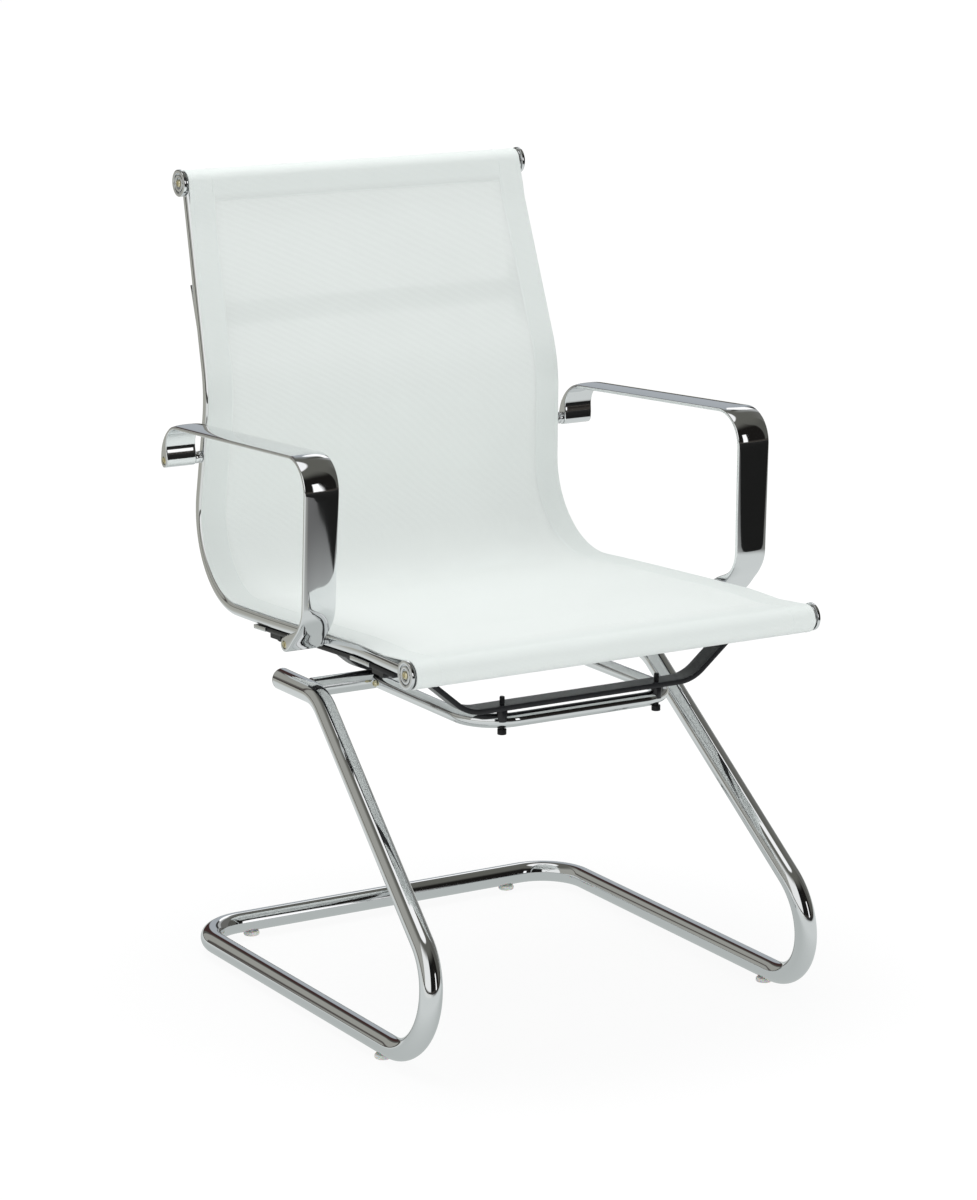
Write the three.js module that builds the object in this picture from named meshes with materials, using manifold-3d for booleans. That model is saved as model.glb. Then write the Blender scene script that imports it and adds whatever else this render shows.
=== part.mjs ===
// Sled base visitor chair: a white net sling stretched over two chromed side rails,
// carried by a black cross-bar frame on a cantilevered loop of bent tube, with two
// chromed flat-bar arms. Millimetres, +Z up, the sitter faces -Y, and the origin is
// on the floor under the middle of the chair. "left" is the sitter's left, at +X.

import * as THREE from 'three';
import { mergeVertices } from 'three/addons/utils/BufferGeometryUtils.js';
import Module from 'manifold-3d';

// Fits and steps shared by every piece
const fit = 0.3; // clearance between turned or cut faces that meet
const overrun = 2; // how far a cutting tool passes the face it cuts
const bendStep = THREE.MathUtils.degToRad(12); // angle of one step round a tube bend
const fineStep = THREE.MathUtils.degToRad(9); // the same along the rails and the net

// Sled frame: one bent tube
const sledTube = 25; // outside diameter
const sledWall = 2;
const sledRearHalfWidth = 251.3; // floor runners, on the tube's centreline
const sledFrontHalfWidth = 248;
const crossbarY = 239.3; // rear floor tube
const floorCornerY = -432.7; // where the runner's line meets the leg's line
const floorBendRadius = 72;
const rearBendRadius = 58;
const stubHalfWidth = 216; // the legs lean in towards the seat
const stubZ = 354;
const stubCornerY = -13.7; // where the leg's line meets the stub's line
const stubBendRadius = 55;
const stubEndY = 75.5;

// Glides under the floor tubes
const glideHeight = 5.5;
const glideDiameter = 19;
const glideChamfer = 1;
const glideStem = 6;
const glideStemLength = 6;
const rearGlideX = 176;
const frontGlideY = -211;

// Upper cross tube and the support loop in front of it
const crossTube = 22;
const crossTubeWall = 2;
const crossTubeY = 24.3;
const loopTube = 16;
const loopWall = 2;
const loopInset = 125.5; // centreline of its sides, from the rail's outer face
const loopFrontY = -209;
const loopBendRadius = 47;
const spigotLength = 18;
const loopScrewShank = 4;
const loopScrewHead = 8;
const loopScrewHeadHeight = 2.8;
const loopScrewSetback = 9; // from the face of the cross tube

// Side rails, given by the corners of their centreline, seen from the side
const railDepth = 14;
const railWidth = 25;
const railEdge = 2; // chamfer along its outer and inner edges
const topTubeY = 296.1;
const topTubeZ = 889;
const lumbarY = 221.3;
const lumbarZ = 655;
const lumbarRadius = 150;
const seatBackY = 245.3;
const seatBackZ = 420.8;
const seatBackRadius = 103;
const thighY = -167.7;
const thighZ = 442.4;
const thighRadius = 400;
const frontTubeY = -278.7;
const frontTubeZ = 441;
const seatHalfWidth = 253; // outer face of the rail along the seat
const backTaper = 32.5; // how much closer to the middle it stands at the top tube
const taperLength = 600; // how far down the rail the chair goes on getting wider
const taperEase = 50;

// Top and front tubes, which carry the ends of the net, and their caps
const hemTube = 25;
const hemTubeWall = 2;
const capDiameter = 31;
const capRim = 3.8; // thickness of the cap's disc
const capNeck = 26;
const capNeckLength = 1.2;
const capPlugLength = 9;
const capGroove = 23; // outside diameter of the ring groove in the face
const capGrooveDepth = 1;
const capBoss = 17; // raised disc inside the groove
const capRecess = 12;
const capRecessDepth = 1.6;
const capScrewHead = 9;
const capScrewHeadHeight = 2.2;
const capScrewShank = 4;
const capScrewLength = 18;

// Net sling
const netThickness = 1.6;
const netRamp = 46; // where the net leaves the rail for the tube, from the tube's axis
const netWrapAngle = THREE.MathUtils.degToRad(50); // left open beside the rail, behind the tube

// Back brace
const braceDrop = 146; // its middle on the rails, below the top tube's axis
const braceHeight = 26;
const braceThickness = 6;
const bracePlateHeight = 74;
const bracePlateWidth = 20;
const bracePlateThickness = 2.5;
const braceScrewSpread = 27; // above and below the bar's centreline
const braceScrewShank = 5;
const braceScrewHead = 9;
const braceScrewHeadHeight = 3;
const braceScrewDepth = 9;

// Arms: a flat bar bent in a C, with a round boss across each end
const armThickness = 5.2;
const armRearWidth = 37.2; // width of the bar at the rear boss
const armFrontWidth = 42; // at the front corner
const armLowerWidth = 39.5; // at the lower boss
const armOverhang = 43.5; // its outer edge at the front corner, from the rail's outer face
const armEdge = 1; // chamfer along its edges
const armRearBossZ = 584.5;
const armRearBoss = 16;
const armRearCornerY = 225.4;
const armRearCornerZ = 626;
const armRearRadius = 34;
const armFrontCornerY = -136;
const armFrontCornerZ = 647;
const armFrontRadius = 37;
const armLowerCornerY = -128.3;
const armLowerCornerZ = 464.6;
const armLowerRadius = 40;
const armLowerBossY = -87.7;
const armLowerBoss = 16;
const armFlareLength = 42; // the bar thickens towards each boss
const armRearSpacer = 8.3; // gap between rail and arm that the spacer fills
const armLowerSpacer = 5.5;
const armScrewShank = 6;
const armScrewHead = 9;
const armScrewHeadHeight = 2.4;
const armScrewRecess = 10;
const armScrewRecessDepth = 3;
const armScrewGrip = 14; // thread inside the rail
const armSpacer = 14;
const armSpacerGroove = 1.2;

// Black frame under the seat
const barWidth = 24;
const barThickness = 6;
const barBendInset = 108.5; // where the flat of the bar turns up, from the rail's outer face
const barBendRadius = 50; // on the bar's underside
const barFlangeRadius = 12;
const barRise = THREE.MathUtils.degToRad(40.2);
const barFlangeInset = 4; // end of the bar's upper flange, from the rail's outer face
const frontBarSetback = 5.6; // middle of the front bar, behind the loop's front line
const barSpacer = 12; // saddle washers between the loop and the front bar
const barSpacerHeight = 4;
const sidePlateThickness = 4.6;
const sidePlateWidth = 22;
const sidePlateRearY = 72;
const sidePlateFrontY = -244;
const clipLength = 27;
const frontClipLength = 42;
const clipThickness = 1.4;
const frontClipY = -171.5;
const boltInset = 28.5; // from the loop's side
const boltShank = 6;
const boltHead = 10;
const boltHeadHeight = 6;
const boltTail = 9.5; // thread standing above the bar
const boltSocket = 5;
const boltSocketDepth = 3;
const flangeScrewShank = 6;
const flangeScrewHead = 11;
const flangeScrewHeadHeight = 3.2;
const flangeScrewGrip = 8;

// Closing plugs in the rear ends of the sled tube's stubs
const stubPlugDome = 1.8;
const stubPlugLength = 14;

// Numbers of sides
const tubeSides = 20;
const boreSides = 10;
const screwSides = 14;
const capSides = 24;

// Finishes
const chrome = new THREE.MeshStandardMaterial({ color: 0xd4d6d8, roughness: 0.08, metalness: 1 });
const zinc = new THREE.MeshStandardMaterial({ color: 0xb9b49a, roughness: 0.35, metalness: 1 });
const blackSteel = new THREE.MeshStandardMaterial({ color: 0x17171a, roughness: 0.45, metalness: 0.3 });
const blackBolt = new THREE.MeshStandardMaterial({ color: 0x1c1c1e, roughness: 0.5, metalness: 0.7 });
const whiteNet = new THREE.MeshStandardMaterial({ color: 0xe9eeec, roughness: 0.85, metalness: 0 });
const paleNylon = new THREE.MeshStandardMaterial({ color: 0xdcdcd2, roughness: 0.55, metalness: 0 });

const wasm = await Module();
wasm.setup();

const chair = new THREE.Group();
const sides = [
  { name: 'left', sign: 1 },
  { name: 'right', sign: -1 },
];

function addPiece(name, geometry, material) {
  const piece = new THREE.Mesh(geometry, material);
  piece.name = name;
  chair.add(piece);
  return piece;
}

// Joining and cutting
function toSolid(geometry) {
  const bare = geometry.clone();
  bare.deleteAttribute('normal');
  bare.deleteAttribute('uv');
  const merged = mergeVertices(bare);
  const vertProperties = new Float32Array(merged.attributes.position.array);
  const triVerts = new Uint32Array(merged.index.array);
  return new wasm.Manifold(new wasm.Mesh({ numProp: 3, vertProperties, triVerts }));
}

function toGeometry(solid) {
  const mesh = solid.getMesh();
  const geometry = new THREE.BufferGeometry();
  geometry.setAttribute('position', new THREE.BufferAttribute(mesh.vertProperties, 3));
  geometry.setIndex(new THREE.BufferAttribute(mesh.triVerts, 1));
  geometry.computeVertexNormals();
  return geometry;
}

function cut(geometry, tools) {
  let solid = toSolid(geometry);
  for (const tool of tools) solid = solid.subtract(toSolid(tool));
  return toGeometry(solid);
}

function join(geometries) {
  const [first, ...rest] = geometries.map(toSolid);
  return toGeometry(rest.reduce((sum, solid) => sum.add(solid), first));
}

// The same piece on the other side of the chair
function mirrored(geometry) {
  const copy = mergeVertices(geometry.clone().scale(-1, 1, 1));
  const index = copy.index.array;
  for (let i = 0; i < index.length; i += 3) {
    [index[i], index[i + 1]] = [index[i + 1], index[i]];
  }
  copy.computeVertexNormals();
  return copy;
}

function onSide(geometry, side) {
  return side.sign > 0 ? geometry : mirrored(geometry);
}

// Turned pieces: outline points are [distance from the axis, place along it]
function turned(outline, segments) {
  const points = outline.map(([radius, along]) => new THREE.Vector2(radius, along));
  return new THREE.LatheGeometry(points, segments);
}

// A turned piece laid along X, its outline's places counted towards +X
function turnedAlongX(outline, segments) {
  return turned(outline, segments).rotateZ(-Math.PI / 2);
}

function turnedAlongZ(outline, segments) {
  return turned(outline, segments).rotateX(Math.PI / 2);
}

function rodAlongX(diameter, fromX, toX, segments = boreSides) {
  const rod = new THREE.CylinderGeometry(diameter / 2, diameter / 2, toX - fromX, segments);
  return rod.rotateZ(-Math.PI / 2).translate((fromX + toX) / 2, 0, 0);
}

function rodAlongY(diameter, fromY, toY, segments = boreSides) {
  const rod = new THREE.CylinderGeometry(diameter / 2, diameter / 2, toY - fromY, segments);
  return rod.translate(0, (fromY + toY) / 2, 0);
}

function rodAlongZ(diameter, fromZ, toZ, segments = boreSides) {
  const rod = new THREE.CylinderGeometry(diameter / 2, diameter / 2, toZ - fromZ, segments);
  return rod.rotateX(Math.PI / 2).translate(0, 0, (fromZ + toZ) / 2);
}

// A round section, point by point. A bore has fewer sides, and its flats touch the
// nominal diameter, so that what is made to the diameter slides in
function ring(diameter, sideCount) {
  return Array.from({ length: sideCount }, (_, i) => {
    const angle = (2 * Math.PI * i) / sideCount;
    return new THREE.Vector2(Math.cos(angle), Math.sin(angle)).multiplyScalar(diameter / 2);
  });
}

// Stations along a line of straight runs and round bends: only the ends of each
// straight run and the steps of each bend, each with its direction and distance
function stationsAlong(corners, radii, step) {
  const stations = [];
  const place = (point, tangent) => {
    const last = stations.at(-1);
    const distance = last ? last.distance + last.point.distanceTo(point) : 0;
    stations.push({ point, tangent, distance });
  };
  const firstRun = corners[1].clone().sub(corners[0]).normalize();
  place(corners[0].clone(), firstRun);
  for (let i = 1; i < corners.length - 1; i += 1) {
    const corner = corners[i];
    const into = corner.clone().sub(corners[i - 1]).normalize();
    const out = corners[i + 1].clone().sub(corner).normalize();
    const turn = into.angleTo(out);
    const reach = radii[i - 1] * Math.tan(turn / 2);
    const start = corner.clone().addScaledVector(into, -reach);
    const inward = out.clone().addScaledVector(into, -Math.cos(turn)).normalize();
    const steps = Math.max(1, Math.ceil(turn / step));
    for (let k = 0; k <= steps; k += 1) {
      const angle = (turn * k) / steps;
      const point = start.clone().addScaledVector(into, radii[i - 1] * Math.sin(angle));
      point.addScaledVector(inward, radii[i - 1] * (1 - Math.cos(angle)));
      const tangent = into.clone().multiplyScalar(Math.cos(angle));
      tangent.addScaledVector(inward, Math.sin(angle));
      place(point, tangent);
    }
  }
  const lastRun = corners.at(-1).clone().sub(corners.at(-2)).normalize();
  place(corners.at(-1).clone(), lastRun);
  return stations;
}

class Route extends THREE.Curve {
  constructor(stations) {
    super();
    this.stations = stations;
  }

  getPoint(share, target = new THREE.Vector3()) {
    const place = share * (this.stations.length - 1);
    const index = Math.min(Math.floor(place), this.stations.length - 2);
    const from = this.stations[index].point;
    return target.copy(from).lerp(this.stations[index + 1].point, place - index);
  }

  getTangentAt(share, target = new THREE.Vector3()) {
    return target.copy(this.stations[Math.round(share * (this.stations.length - 1))].tangent);
  }

  getSpacedPoints() {
    return this.stations.map((station) => station.point.clone());
  }
}

function alongRoute(section, stations) {
  const extrudePath = new Route(stations);
  return new THREE.ExtrudeGeometry(section, { steps: stations.length - 1, extrudePath });
}

function bentRod(stations, diameter) {
  return alongRoute(new THREE.Shape(ring(diameter, tubeSides)), stations);
}

function bentTube(stations, diameter, wall) {
  const section = new THREE.Shape(ring(diameter, tubeSides));
  const bore = (diameter - 2 * wall) / Math.cos(Math.PI / boreSides);
  section.holes.push(new THREE.Path(ring(bore, boreSides)));
  return alongRoute(section, stations);
}

// Side views: x holds Y and y holds Z, and a positive offset lies on the sitter's side
const inSideView = (y, z) => new THREE.Vector3(y, z, 0);

function offsetPoint(station, offset) {
  const { point, tangent } = station;
  return new THREE.Vector2(point.x + offset * tangent.y, point.y - offset * tangent.x);
}

function stationAt(stations, distance) {
  const next = stations.find((station) => station.distance >= distance) ?? stations.at(-1);
  const last = stations[Math.max(0, stations.indexOf(next) - 1)];
  const span = next.distance - last.distance;
  const share = span > 0 ? (distance - last.distance) / span : 0;
  return {
    point: last.point.clone().lerp(next.point, share),
    tangent: last.tangent.clone().lerp(next.tangent, share).normalize(),
    distance,
  };
}

// The station whose Y or Z is the one asked for, searched from one end of the line
function stationWhere(stations, axis, value) {
  for (let i = 1; i < stations.length; i += 1) {
    const from = stations[i - 1];
    const to = stations[i];
    if ((from.point[axis] - value) * (to.point[axis] - value) <= 0) {
      const share = (value - from.point[axis]) / (to.point[axis] - from.point[axis]);
      return stationAt(stations, from.distance + share * (to.distance - from.distance));
    }
  }
  return stations.at(-1);
}

function stretchOf(stations, fromDistance, toDistance) {
  const inside = stations.filter((s) => s.distance > fromDistance && s.distance < toDistance);
  return [stationAt(stations, fromDistance), ...inside, stationAt(stations, toDistance)];
}

function nearestDistance(stations, y, z) {
  let best = { gap: Infinity, distance: 0 };
  const place = inSideView(y, z);
  for (let i = 1; i < stations.length; i += 1) {
    const run = new THREE.Line3(stations[i - 1].point, stations[i].point);
    const share = run.closestPointToPointParameter(place, true);
    const gap = run.at(share, new THREE.Vector3()).distanceTo(place);
    const distance = THREE.MathUtils.lerp(stations[i - 1].distance, stations[i].distance, share);
    if (gap < best.gap) best = { gap, distance };
  }
  return best.distance;
}

// A side-view outline made solid across the chair, from fromX to fromX + width
function acrossChair(outline, fromX, width, edge = 0) {
  const geometry = new THREE.ExtrudeGeometry(new THREE.Shape(outline), {
    steps: 1,
    depth: width - 2 * edge,
    bevelEnabled: edge > 0,
    bevelThickness: edge,
    bevelSize: edge,
    bevelOffset: -edge,
    bevelSegments: 1,
  });
  const toChair = new THREE.Matrix4().makeBasis(
    new THREE.Vector3(0, 1, 0),
    new THREE.Vector3(0, 0, 1),
    new THREE.Vector3(1, 0, 0),
  );
  return geometry.applyMatrix4(toChair).translate(fromX + edge, 0, 0);
}

function ribbonOutline(stations, lowOffset, highOffset) {
  const high = stations.map((station) => offsetPoint(station, highOffset(station.distance)));
  const low = stations.map((station) => offsetPoint(station, lowOffset(station.distance)));
  return [...high, ...low.reverse()];
}

// Gives every point of a solid a new place across the chair
function placeAcross(geometry, placeAt) {
  const position = geometry.attributes.position;
  for (let i = 0; i < position.count; i += 1) {
    position.setX(i, placeAt(position.getX(i), position.getY(i), position.getZ(i)));
  }
  geometry.computeVertexNormals();
  return geometry;
}

function addStation(stations, distance) {
  const added = [...stations, stationAt(stations, distance)];
  return added.sort((one, other) => one.distance - other.distance);
}

// The rail's centreline, from the top tube down the back and along the seat, with
// stations of its own where the chair stops getting wider
const railBends = stationsAlong(
  [
    inSideView(topTubeY, topTubeZ),
    inSideView(lumbarY, lumbarZ),
    inSideView(seatBackY, seatBackZ),
    inSideView(thighY, thighZ),
    inSideView(frontTubeY, frontTubeZ),
  ],
  [lumbarRadius, seatBackRadius, thighRadius],
  fineStep,
);
const taperEnds = [taperLength - taperEase, taperLength, taperLength + taperEase];
const railLine = taperEnds.reduce(addStation, railBends);
const railLength = railLine.at(-1).distance;

function outerHalfWidth(distance) {
  const slope = backTaper / taperLength;
  const left = taperLength - distance;
  if (left > taperEase) return seatHalfWidth - slope * left;
  if (left < -taperEase) return seatHalfWidth;
  return seatHalfWidth - (slope * (left + taperEase) ** 2) / (4 * taperEase);
}

const outerHalfWidthNear = (y, z) => outerHalfWidth(nearestDistance(railLine, y, z));
const railUnderside = -railDepth / 2;

// Places that more than one piece uses
const loopHalfWidth = seatHalfWidth - loopInset;
const boltX = loopHalfWidth - boltInset;
const barBendX = seatHalfWidth - barBendInset;
const braceZ = topTubeZ - braceDrop;
const rearMountStation = stationWhere(railLine, 'y', armRearBossZ);
const seatLine = stretchOf(railLine, taperLength / 2, railLength);
const lowerMountStation = stationWhere(seatLine, 'x', armLowerBossY);
const capSeatTop = outerHalfWidth(capNeck / 2) + fit;
const capSeatFront = seatHalfWidth + fit;
const floorTubeZ = glideHeight + sledTube / 2;
const flangeScrewX = seatHalfWidth - railWidth / 2;

// Where the arm is screwed on: outwards from the rail come a spacer and the arm's boss
const armMounts = [
  { name: 'rear', place: rearMountStation.point, boss: armRearBoss, gap: armRearSpacer, width: armRearWidth },
  { name: 'lower', place: lowerMountStation.point, boss: armLowerBoss, gap: armLowerSpacer, width: armLowerWidth },
].map((mount) => {
  const { x: y, y: z } = mount.place;
  const spacerFromX = outerHalfWidthNear(y, z - armSpacer / 2) + fit;
  const spacerToX = spacerFromX + mount.gap;
  const innerX = spacerToX + fit;
  return { ...mount, spacerFromX, spacerToX, innerX, outerX: innerX + mount.width };
});

// Each cross bar stands square to the rail above it. The rear one rests on its tube,
// and the front one on saddle washers
const crossBars = [
  { name: 'front', y: loopFrontY, tube: loopTube, standOff: fit + barSpacerHeight, setback: frontBarSetback },
  { name: 'rear', y: crossTubeY, tube: crossTube, standOff: 0, setback: 0 },
].map((bar) => {
  const above = stationAt(railLine, nearestDistance(seatLine, bar.y, stubZ));
  const railZ = stubZ + above.point.distanceTo(inSideView(bar.y, stubZ));
  const flangeTopZ = railZ + railUnderside - 2 * fit - sidePlateThickness;
  const tilt = -Math.atan2(above.tangent.y, -above.tangent.x);
  return { ...bar, restZ: stubZ + bar.tube / 2 + bar.standOff, railZ, flangeTopZ, tilt };
});

const frontGlideShare = (frontGlideY - floorCornerY) / (crossbarY - floorCornerY);
const frontGlideX = THREE.MathUtils.lerp(sledFrontHalfWidth, sledRearHalfWidth, frontGlideShare);
const glidePlaces = [
  { name: 'rear', x: rearGlideX, y: crossbarY },
  { name: 'front', x: frontGlideX, y: frontGlideY },
];

const braceStation = stationWhere(railLine, 'y', braceZ);
const braceScrewStations = [
  { name: 'upper', station: stationAt(railLine, braceStation.distance - braceScrewSpread) },
  { name: 'lower', station: stationAt(railLine, braceStation.distance + braceScrewSpread) },
];

// Moves a piece made round the origin to a station of the rail, its +Y along the
// rail's front-to-back direction there
function atRail(geometry, x, station, offset = 0) {
  const place = offsetPoint(station, offset);
  const lean = Math.atan2(station.tangent.x, -station.tangent.y);
  return geometry.rotateX(lean).translate(x, place.x, place.y);
}

function sledFrame() {
  const corners = [
    new THREE.Vector3(stubHalfWidth, stubEndY, stubZ),
    new THREE.Vector3(stubHalfWidth, stubCornerY, stubZ),
    new THREE.Vector3(sledFrontHalfWidth, floorCornerY, floorTubeZ),
    new THREE.Vector3(sledRearHalfWidth, crossbarY, floorTubeZ),
  ];
  const others = corners.map((corner) => corner.clone().setX(-corner.x)).reverse();
  const radii = [stubBendRadius, floorBendRadius, rearBendRadius];
  const line = stationsAlong([...corners, ...others], [...radii, ...radii.toReversed()], bendStep);
  const tube = bentTube(line, sledTube, sledWall);
  const stemHole = (x, y) => {
    const hole = rodAlongZ(glideStem + 2 * fit, 0, glideHeight + sledWall + overrun);
    return hole.translate(x, y, 0);
  };
  const holes = glidePlaces.flatMap(({ x, y }) => [stemHole(x, y), stemHole(-x, y)]);
  return cut(tube, holes);
}

// Upper cross tube, coped to the stubs, with a spigot in each end of the loop
function upperCrossTube() {
  const across = [
    { point: new THREE.Vector3(-stubHalfWidth, crossTubeY, stubZ) },
    { point: new THREE.Vector3(stubHalfWidth, crossTubeY, stubZ) },
  ].map((station) => ({ ...station, tangent: new THREE.Vector3(1, 0, 0) }));
  const tube = bentTube(across, crossTube, crossTubeWall);
  const spigotBore = loopTube - 2 * loopWall - 2 * fit;
  const root = crossTubeY - crossTube / 2 + crossTubeWall / 2;
  const tip = crossTubeY - crossTube / 2 - spigotLength;
  const spigot = (x) => rodAlongY(spigotBore, tip, root).translate(x, 0, stubZ);
  const whole = join([tube, spigot(loopHalfWidth), spigot(-loopHalfWidth)]);
  const stubs = sides.map(({ sign }) => {
    const tool = rodAlongY(sledTube + 2 * fit, crossTubeY - crossTube, crossTubeY + crossTube, tubeSides);
    return tool.translate(sign * stubHalfWidth, 0, stubZ);
  });
  return cut(whole, [...stubs, ...loopScrewHoles(), ...crossBarBoltHoles('rear')]);
}

const loopScrewY = crossTubeY - crossTube / 2 - loopScrewSetback;

function loopScrewHoles() {
  return sides.map(({ sign }) => {
    const near = loopHalfWidth - loopTube / 2 + loopWall + fit;
    const far = loopHalfWidth + loopTube / 2 + overrun;
    const hole = rodAlongX(loopScrewShank + 2 * fit, near, far);
    return onSide(hole.translate(0, loopScrewY, stubZ), { sign });
  });
}

function loopStations() {
  const corners = [
    new THREE.Vector3(loopHalfWidth, crossTubeY, stubZ),
    new THREE.Vector3(loopHalfWidth, loopFrontY, stubZ),
    new THREE.Vector3(-loopHalfWidth, loopFrontY, stubZ),
    new THREE.Vector3(-loopHalfWidth, crossTubeY, stubZ),
  ];
  return stationsAlong(corners, [loopBendRadius, loopBendRadius], bendStep);
}

function supportLoop() {
  const tube = bentTube(loopStations(), loopTube, loopWall);
  const reach = loopHalfWidth + loopTube;
  const cope = rodAlongX(crossTube + 2 * fit, -reach, reach, tubeSides);
  cope.translate(0, crossTubeY, stubZ);
  return cut(tube, [cope, ...loopScrewHoles(), ...crossBarBoltHoles('front')]);
}

function loopScrew() {
  const seat = loopHalfWidth + loopTube / 2 + fit;
  const tip = loopHalfWidth - loopTube / 2 + loopWall + 2 * fit;
  const outline = [
    [0, tip],
    [loopScrewShank / 2, tip],
    [loopScrewShank / 2, seat],
    [loopScrewHead / 2, seat],
    [loopScrewHead / 2, seat + loopScrewHeadHeight / 3],
    [loopScrewHead / 3, seat + loopScrewHeadHeight],
    [0, seat + loopScrewHeadHeight],
  ];
  return turnedAlongX(outline, screwSides).translate(0, loopScrewY, stubZ);
}

// A cross bar lies on its tube, rises at both ends and ends in a flange
function crossBar(bar) {
  const bottom = bar.restZ + fit;
  const flangeZ = bar.flangeTopZ - barThickness - bottom;
  const flangeCornerX = barBendX + flangeZ / Math.tan(barRise);
  const barFlangeX = seatHalfWidth - barFlangeInset;
  const corners = [
    inSideView(-barFlangeX, flangeZ),
    inSideView(-flangeCornerX, flangeZ),
    inSideView(-barBendX, 0),
    inSideView(barBendX, 0),
    inSideView(flangeCornerX, flangeZ),
    inSideView(barFlangeX, flangeZ),
  ];
  const radii = [barFlangeRadius, barBendRadius, barBendRadius, barFlangeRadius];
  const line = stationsAlong(corners, radii, bendStep);
  const outline = ribbonOutline(line, () => -barThickness, () => 0);
  const geometry = new THREE.ExtrudeGeometry(new THREE.Shape(outline), {
    steps: 1,
    depth: barWidth,
    bevelEnabled: false,
  });
  geometry.rotateX(Math.PI / 2).translate(0, bar.setback + barWidth / 2, bottom);
  return geometry;
}

// Turns what belongs to a cross bar about the tube that it rests on
function onBarTube(geometry, bar) {
  return geometry.translate(0, 0, -stubZ).rotateX(bar.tilt).translate(0, bar.y, stubZ);
}

function crossBarPiece(bar) {
  const holes = sides.map(({ sign }) => {
    const hole = rodAlongZ(boltShank + 2 * fit, bar.restZ - overrun, bar.restZ + barThickness + overrun);
    return hole.translate(sign * boltX, 0, 0);
  });
  const flangeHoles = sides.map(({ sign }) => {
    const low = bar.flangeTopZ - 2 * barThickness;
    const hole = rodAlongZ(flangeScrewShank + 2 * fit, low, bar.flangeTopZ + overrun);
    return hole.translate(sign * flangeScrewX, bar.setback, 0);
  });
  return onBarTube(cut(crossBar(bar), [...holes, ...flangeHoles]), bar);
}

function crossBarBoltHoles(name) {
  const bar = crossBars.find((each) => each.name === name);
  const low = stubZ - bar.tube / 2 - overrun;
  return sides.map(({ sign }) => {
    const hole = rodAlongZ(boltShank + 2 * fit, low, bar.restZ + overrun);
    return onBarTube(hole.translate(sign * boltX, 0, 0), bar);
  });
}

// A washer under the front bar, hollowed below to sit on the loop's round tube
function frontBarSpacer() {
  const bar = crossBars.find((each) => each.name === 'front');
  const ringOutline = [
    [boltShank / 2 + fit, stubZ],
    [barSpacer / 2, stubZ],
    [barSpacer / 2, bar.restZ],
    [boltShank / 2 + fit, bar.restZ],
    [boltShank / 2 + fit, stubZ],
  ];
  const washer = onBarTube(turnedAlongZ(ringOutline, screwSides).translate(boltX, 0, 0), bar);
  return cut(washer, [bentRod(loopStations(), loopTube + 2 * fit)]);
}

function crossBarBolt(bar) {
  const seat = stubZ - bar.tube / 2 - fit;
  const tip = bar.restZ + fit + barThickness + boltTail;
  const outline = [
    [0, seat - boltHeadHeight + boltSocketDepth],
    [boltSocket / 2, seat - boltHeadHeight + boltSocketDepth],
    [boltSocket / 2, seat - boltHeadHeight],
    [boltHead / 2, seat - boltHeadHeight],
    [boltHead / 2, seat],
    [boltShank / 2, seat],
    [boltShank / 2, tip],
    [0, tip],
  ];
  return turnedAlongZ(outline, screwSides);
}

// Side plates under the rails, with the zinc clips on their outer edges
function plateStretch(fromY, toY) {
  const from = stationWhere(seatLine, 'x', fromY).distance;
  const to = stationWhere(seatLine, 'x', toY).distance;
  return stretchOf(railLine, from, to);
}

function sidePlate() {
  const high = railUnderside - fit;
  const line = plateStretch(sidePlateRearY, sidePlateFrontY);
  const outline = ribbonOutline(line, () => high - sidePlateThickness, () => high);
  const fromX = flangeScrewX - sidePlateWidth / 2;
  return cut(acrossChair(outline, fromX, sidePlateWidth), flangeScrewHoles());
}

function flangeScrewHoles() {
  return crossBars.map((bar) => {
    const tip = bar.railZ + railUnderside + flangeScrewGrip + fit;
    const hole = rodAlongZ(flangeScrewShank + 2 * fit, bar.flangeTopZ - overrun, tip);
    return onBarTube(hole.translate(flangeScrewX, bar.setback, 0), bar);
  });
}

function flangeScrew(bar) {
  const seat = bar.flangeTopZ - barThickness - fit;
  const tip = bar.railZ + railUnderside + flangeScrewGrip;
  const outline = [
    [0, seat - flangeScrewHeadHeight],
    [flangeScrewHead / 3, seat - flangeScrewHeadHeight],
    [flangeScrewHead / 2, seat - flangeScrewHeadHeight / 2],
    [flangeScrewHead / 2, seat],
    [flangeScrewShank / 2, seat],
    [flangeScrewShank / 2, tip],
    [0, tip],
  ];
  return turnedAlongZ(outline, screwSides);
}

function railClip(fromY, toY) {
  const high = railUnderside - fit;
  const line = plateStretch(fromY, toY);
  const outline = ribbonOutline(line, () => high - sidePlateThickness, () => high);
  const fromX = flangeScrewX + sidePlateWidth / 2 + fit;
  return acrossChair(outline, fromX, clipThickness);
}

function sideRail() {
  const outline = ribbonOutline(railLine, () => -railDepth / 2, () => railDepth / 2);
  const rail = acrossChair(outline, -railWidth, railWidth, railEdge);
  placeAcross(rail, (x, y, z) => outerHalfWidthNear(y, z) + x);
  const inner = seatHalfWidth - backTaper - railWidth - overrun;
  const outer = seatHalfWidth + overrun;
  const cope = (y, z) => rodAlongX(hemTube + 2 * fit, inner, outer, tubeSides).translate(0, y, z);
  const armHoles = armMounts.map((mount) => {
    const deepest = mount.spacerFromX - fit - armScrewGrip - overrun;
    const hole = rodAlongX(armScrewShank + 2 * fit, deepest, outer);
    return hole.translate(0, mount.place.x, mount.place.y);
  });
  const tools = [
    cope(topTubeY, topTubeZ),
    cope(frontTubeY, frontTubeZ),
    ...armHoles,
    ...braceScrewHoles(),
    ...flangeScrewHoles(),
  ];
  return cut(rail, tools);
}

const braceScrewX = (station) => outerHalfWidth(station.distance) - railWidth / 2;

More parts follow.
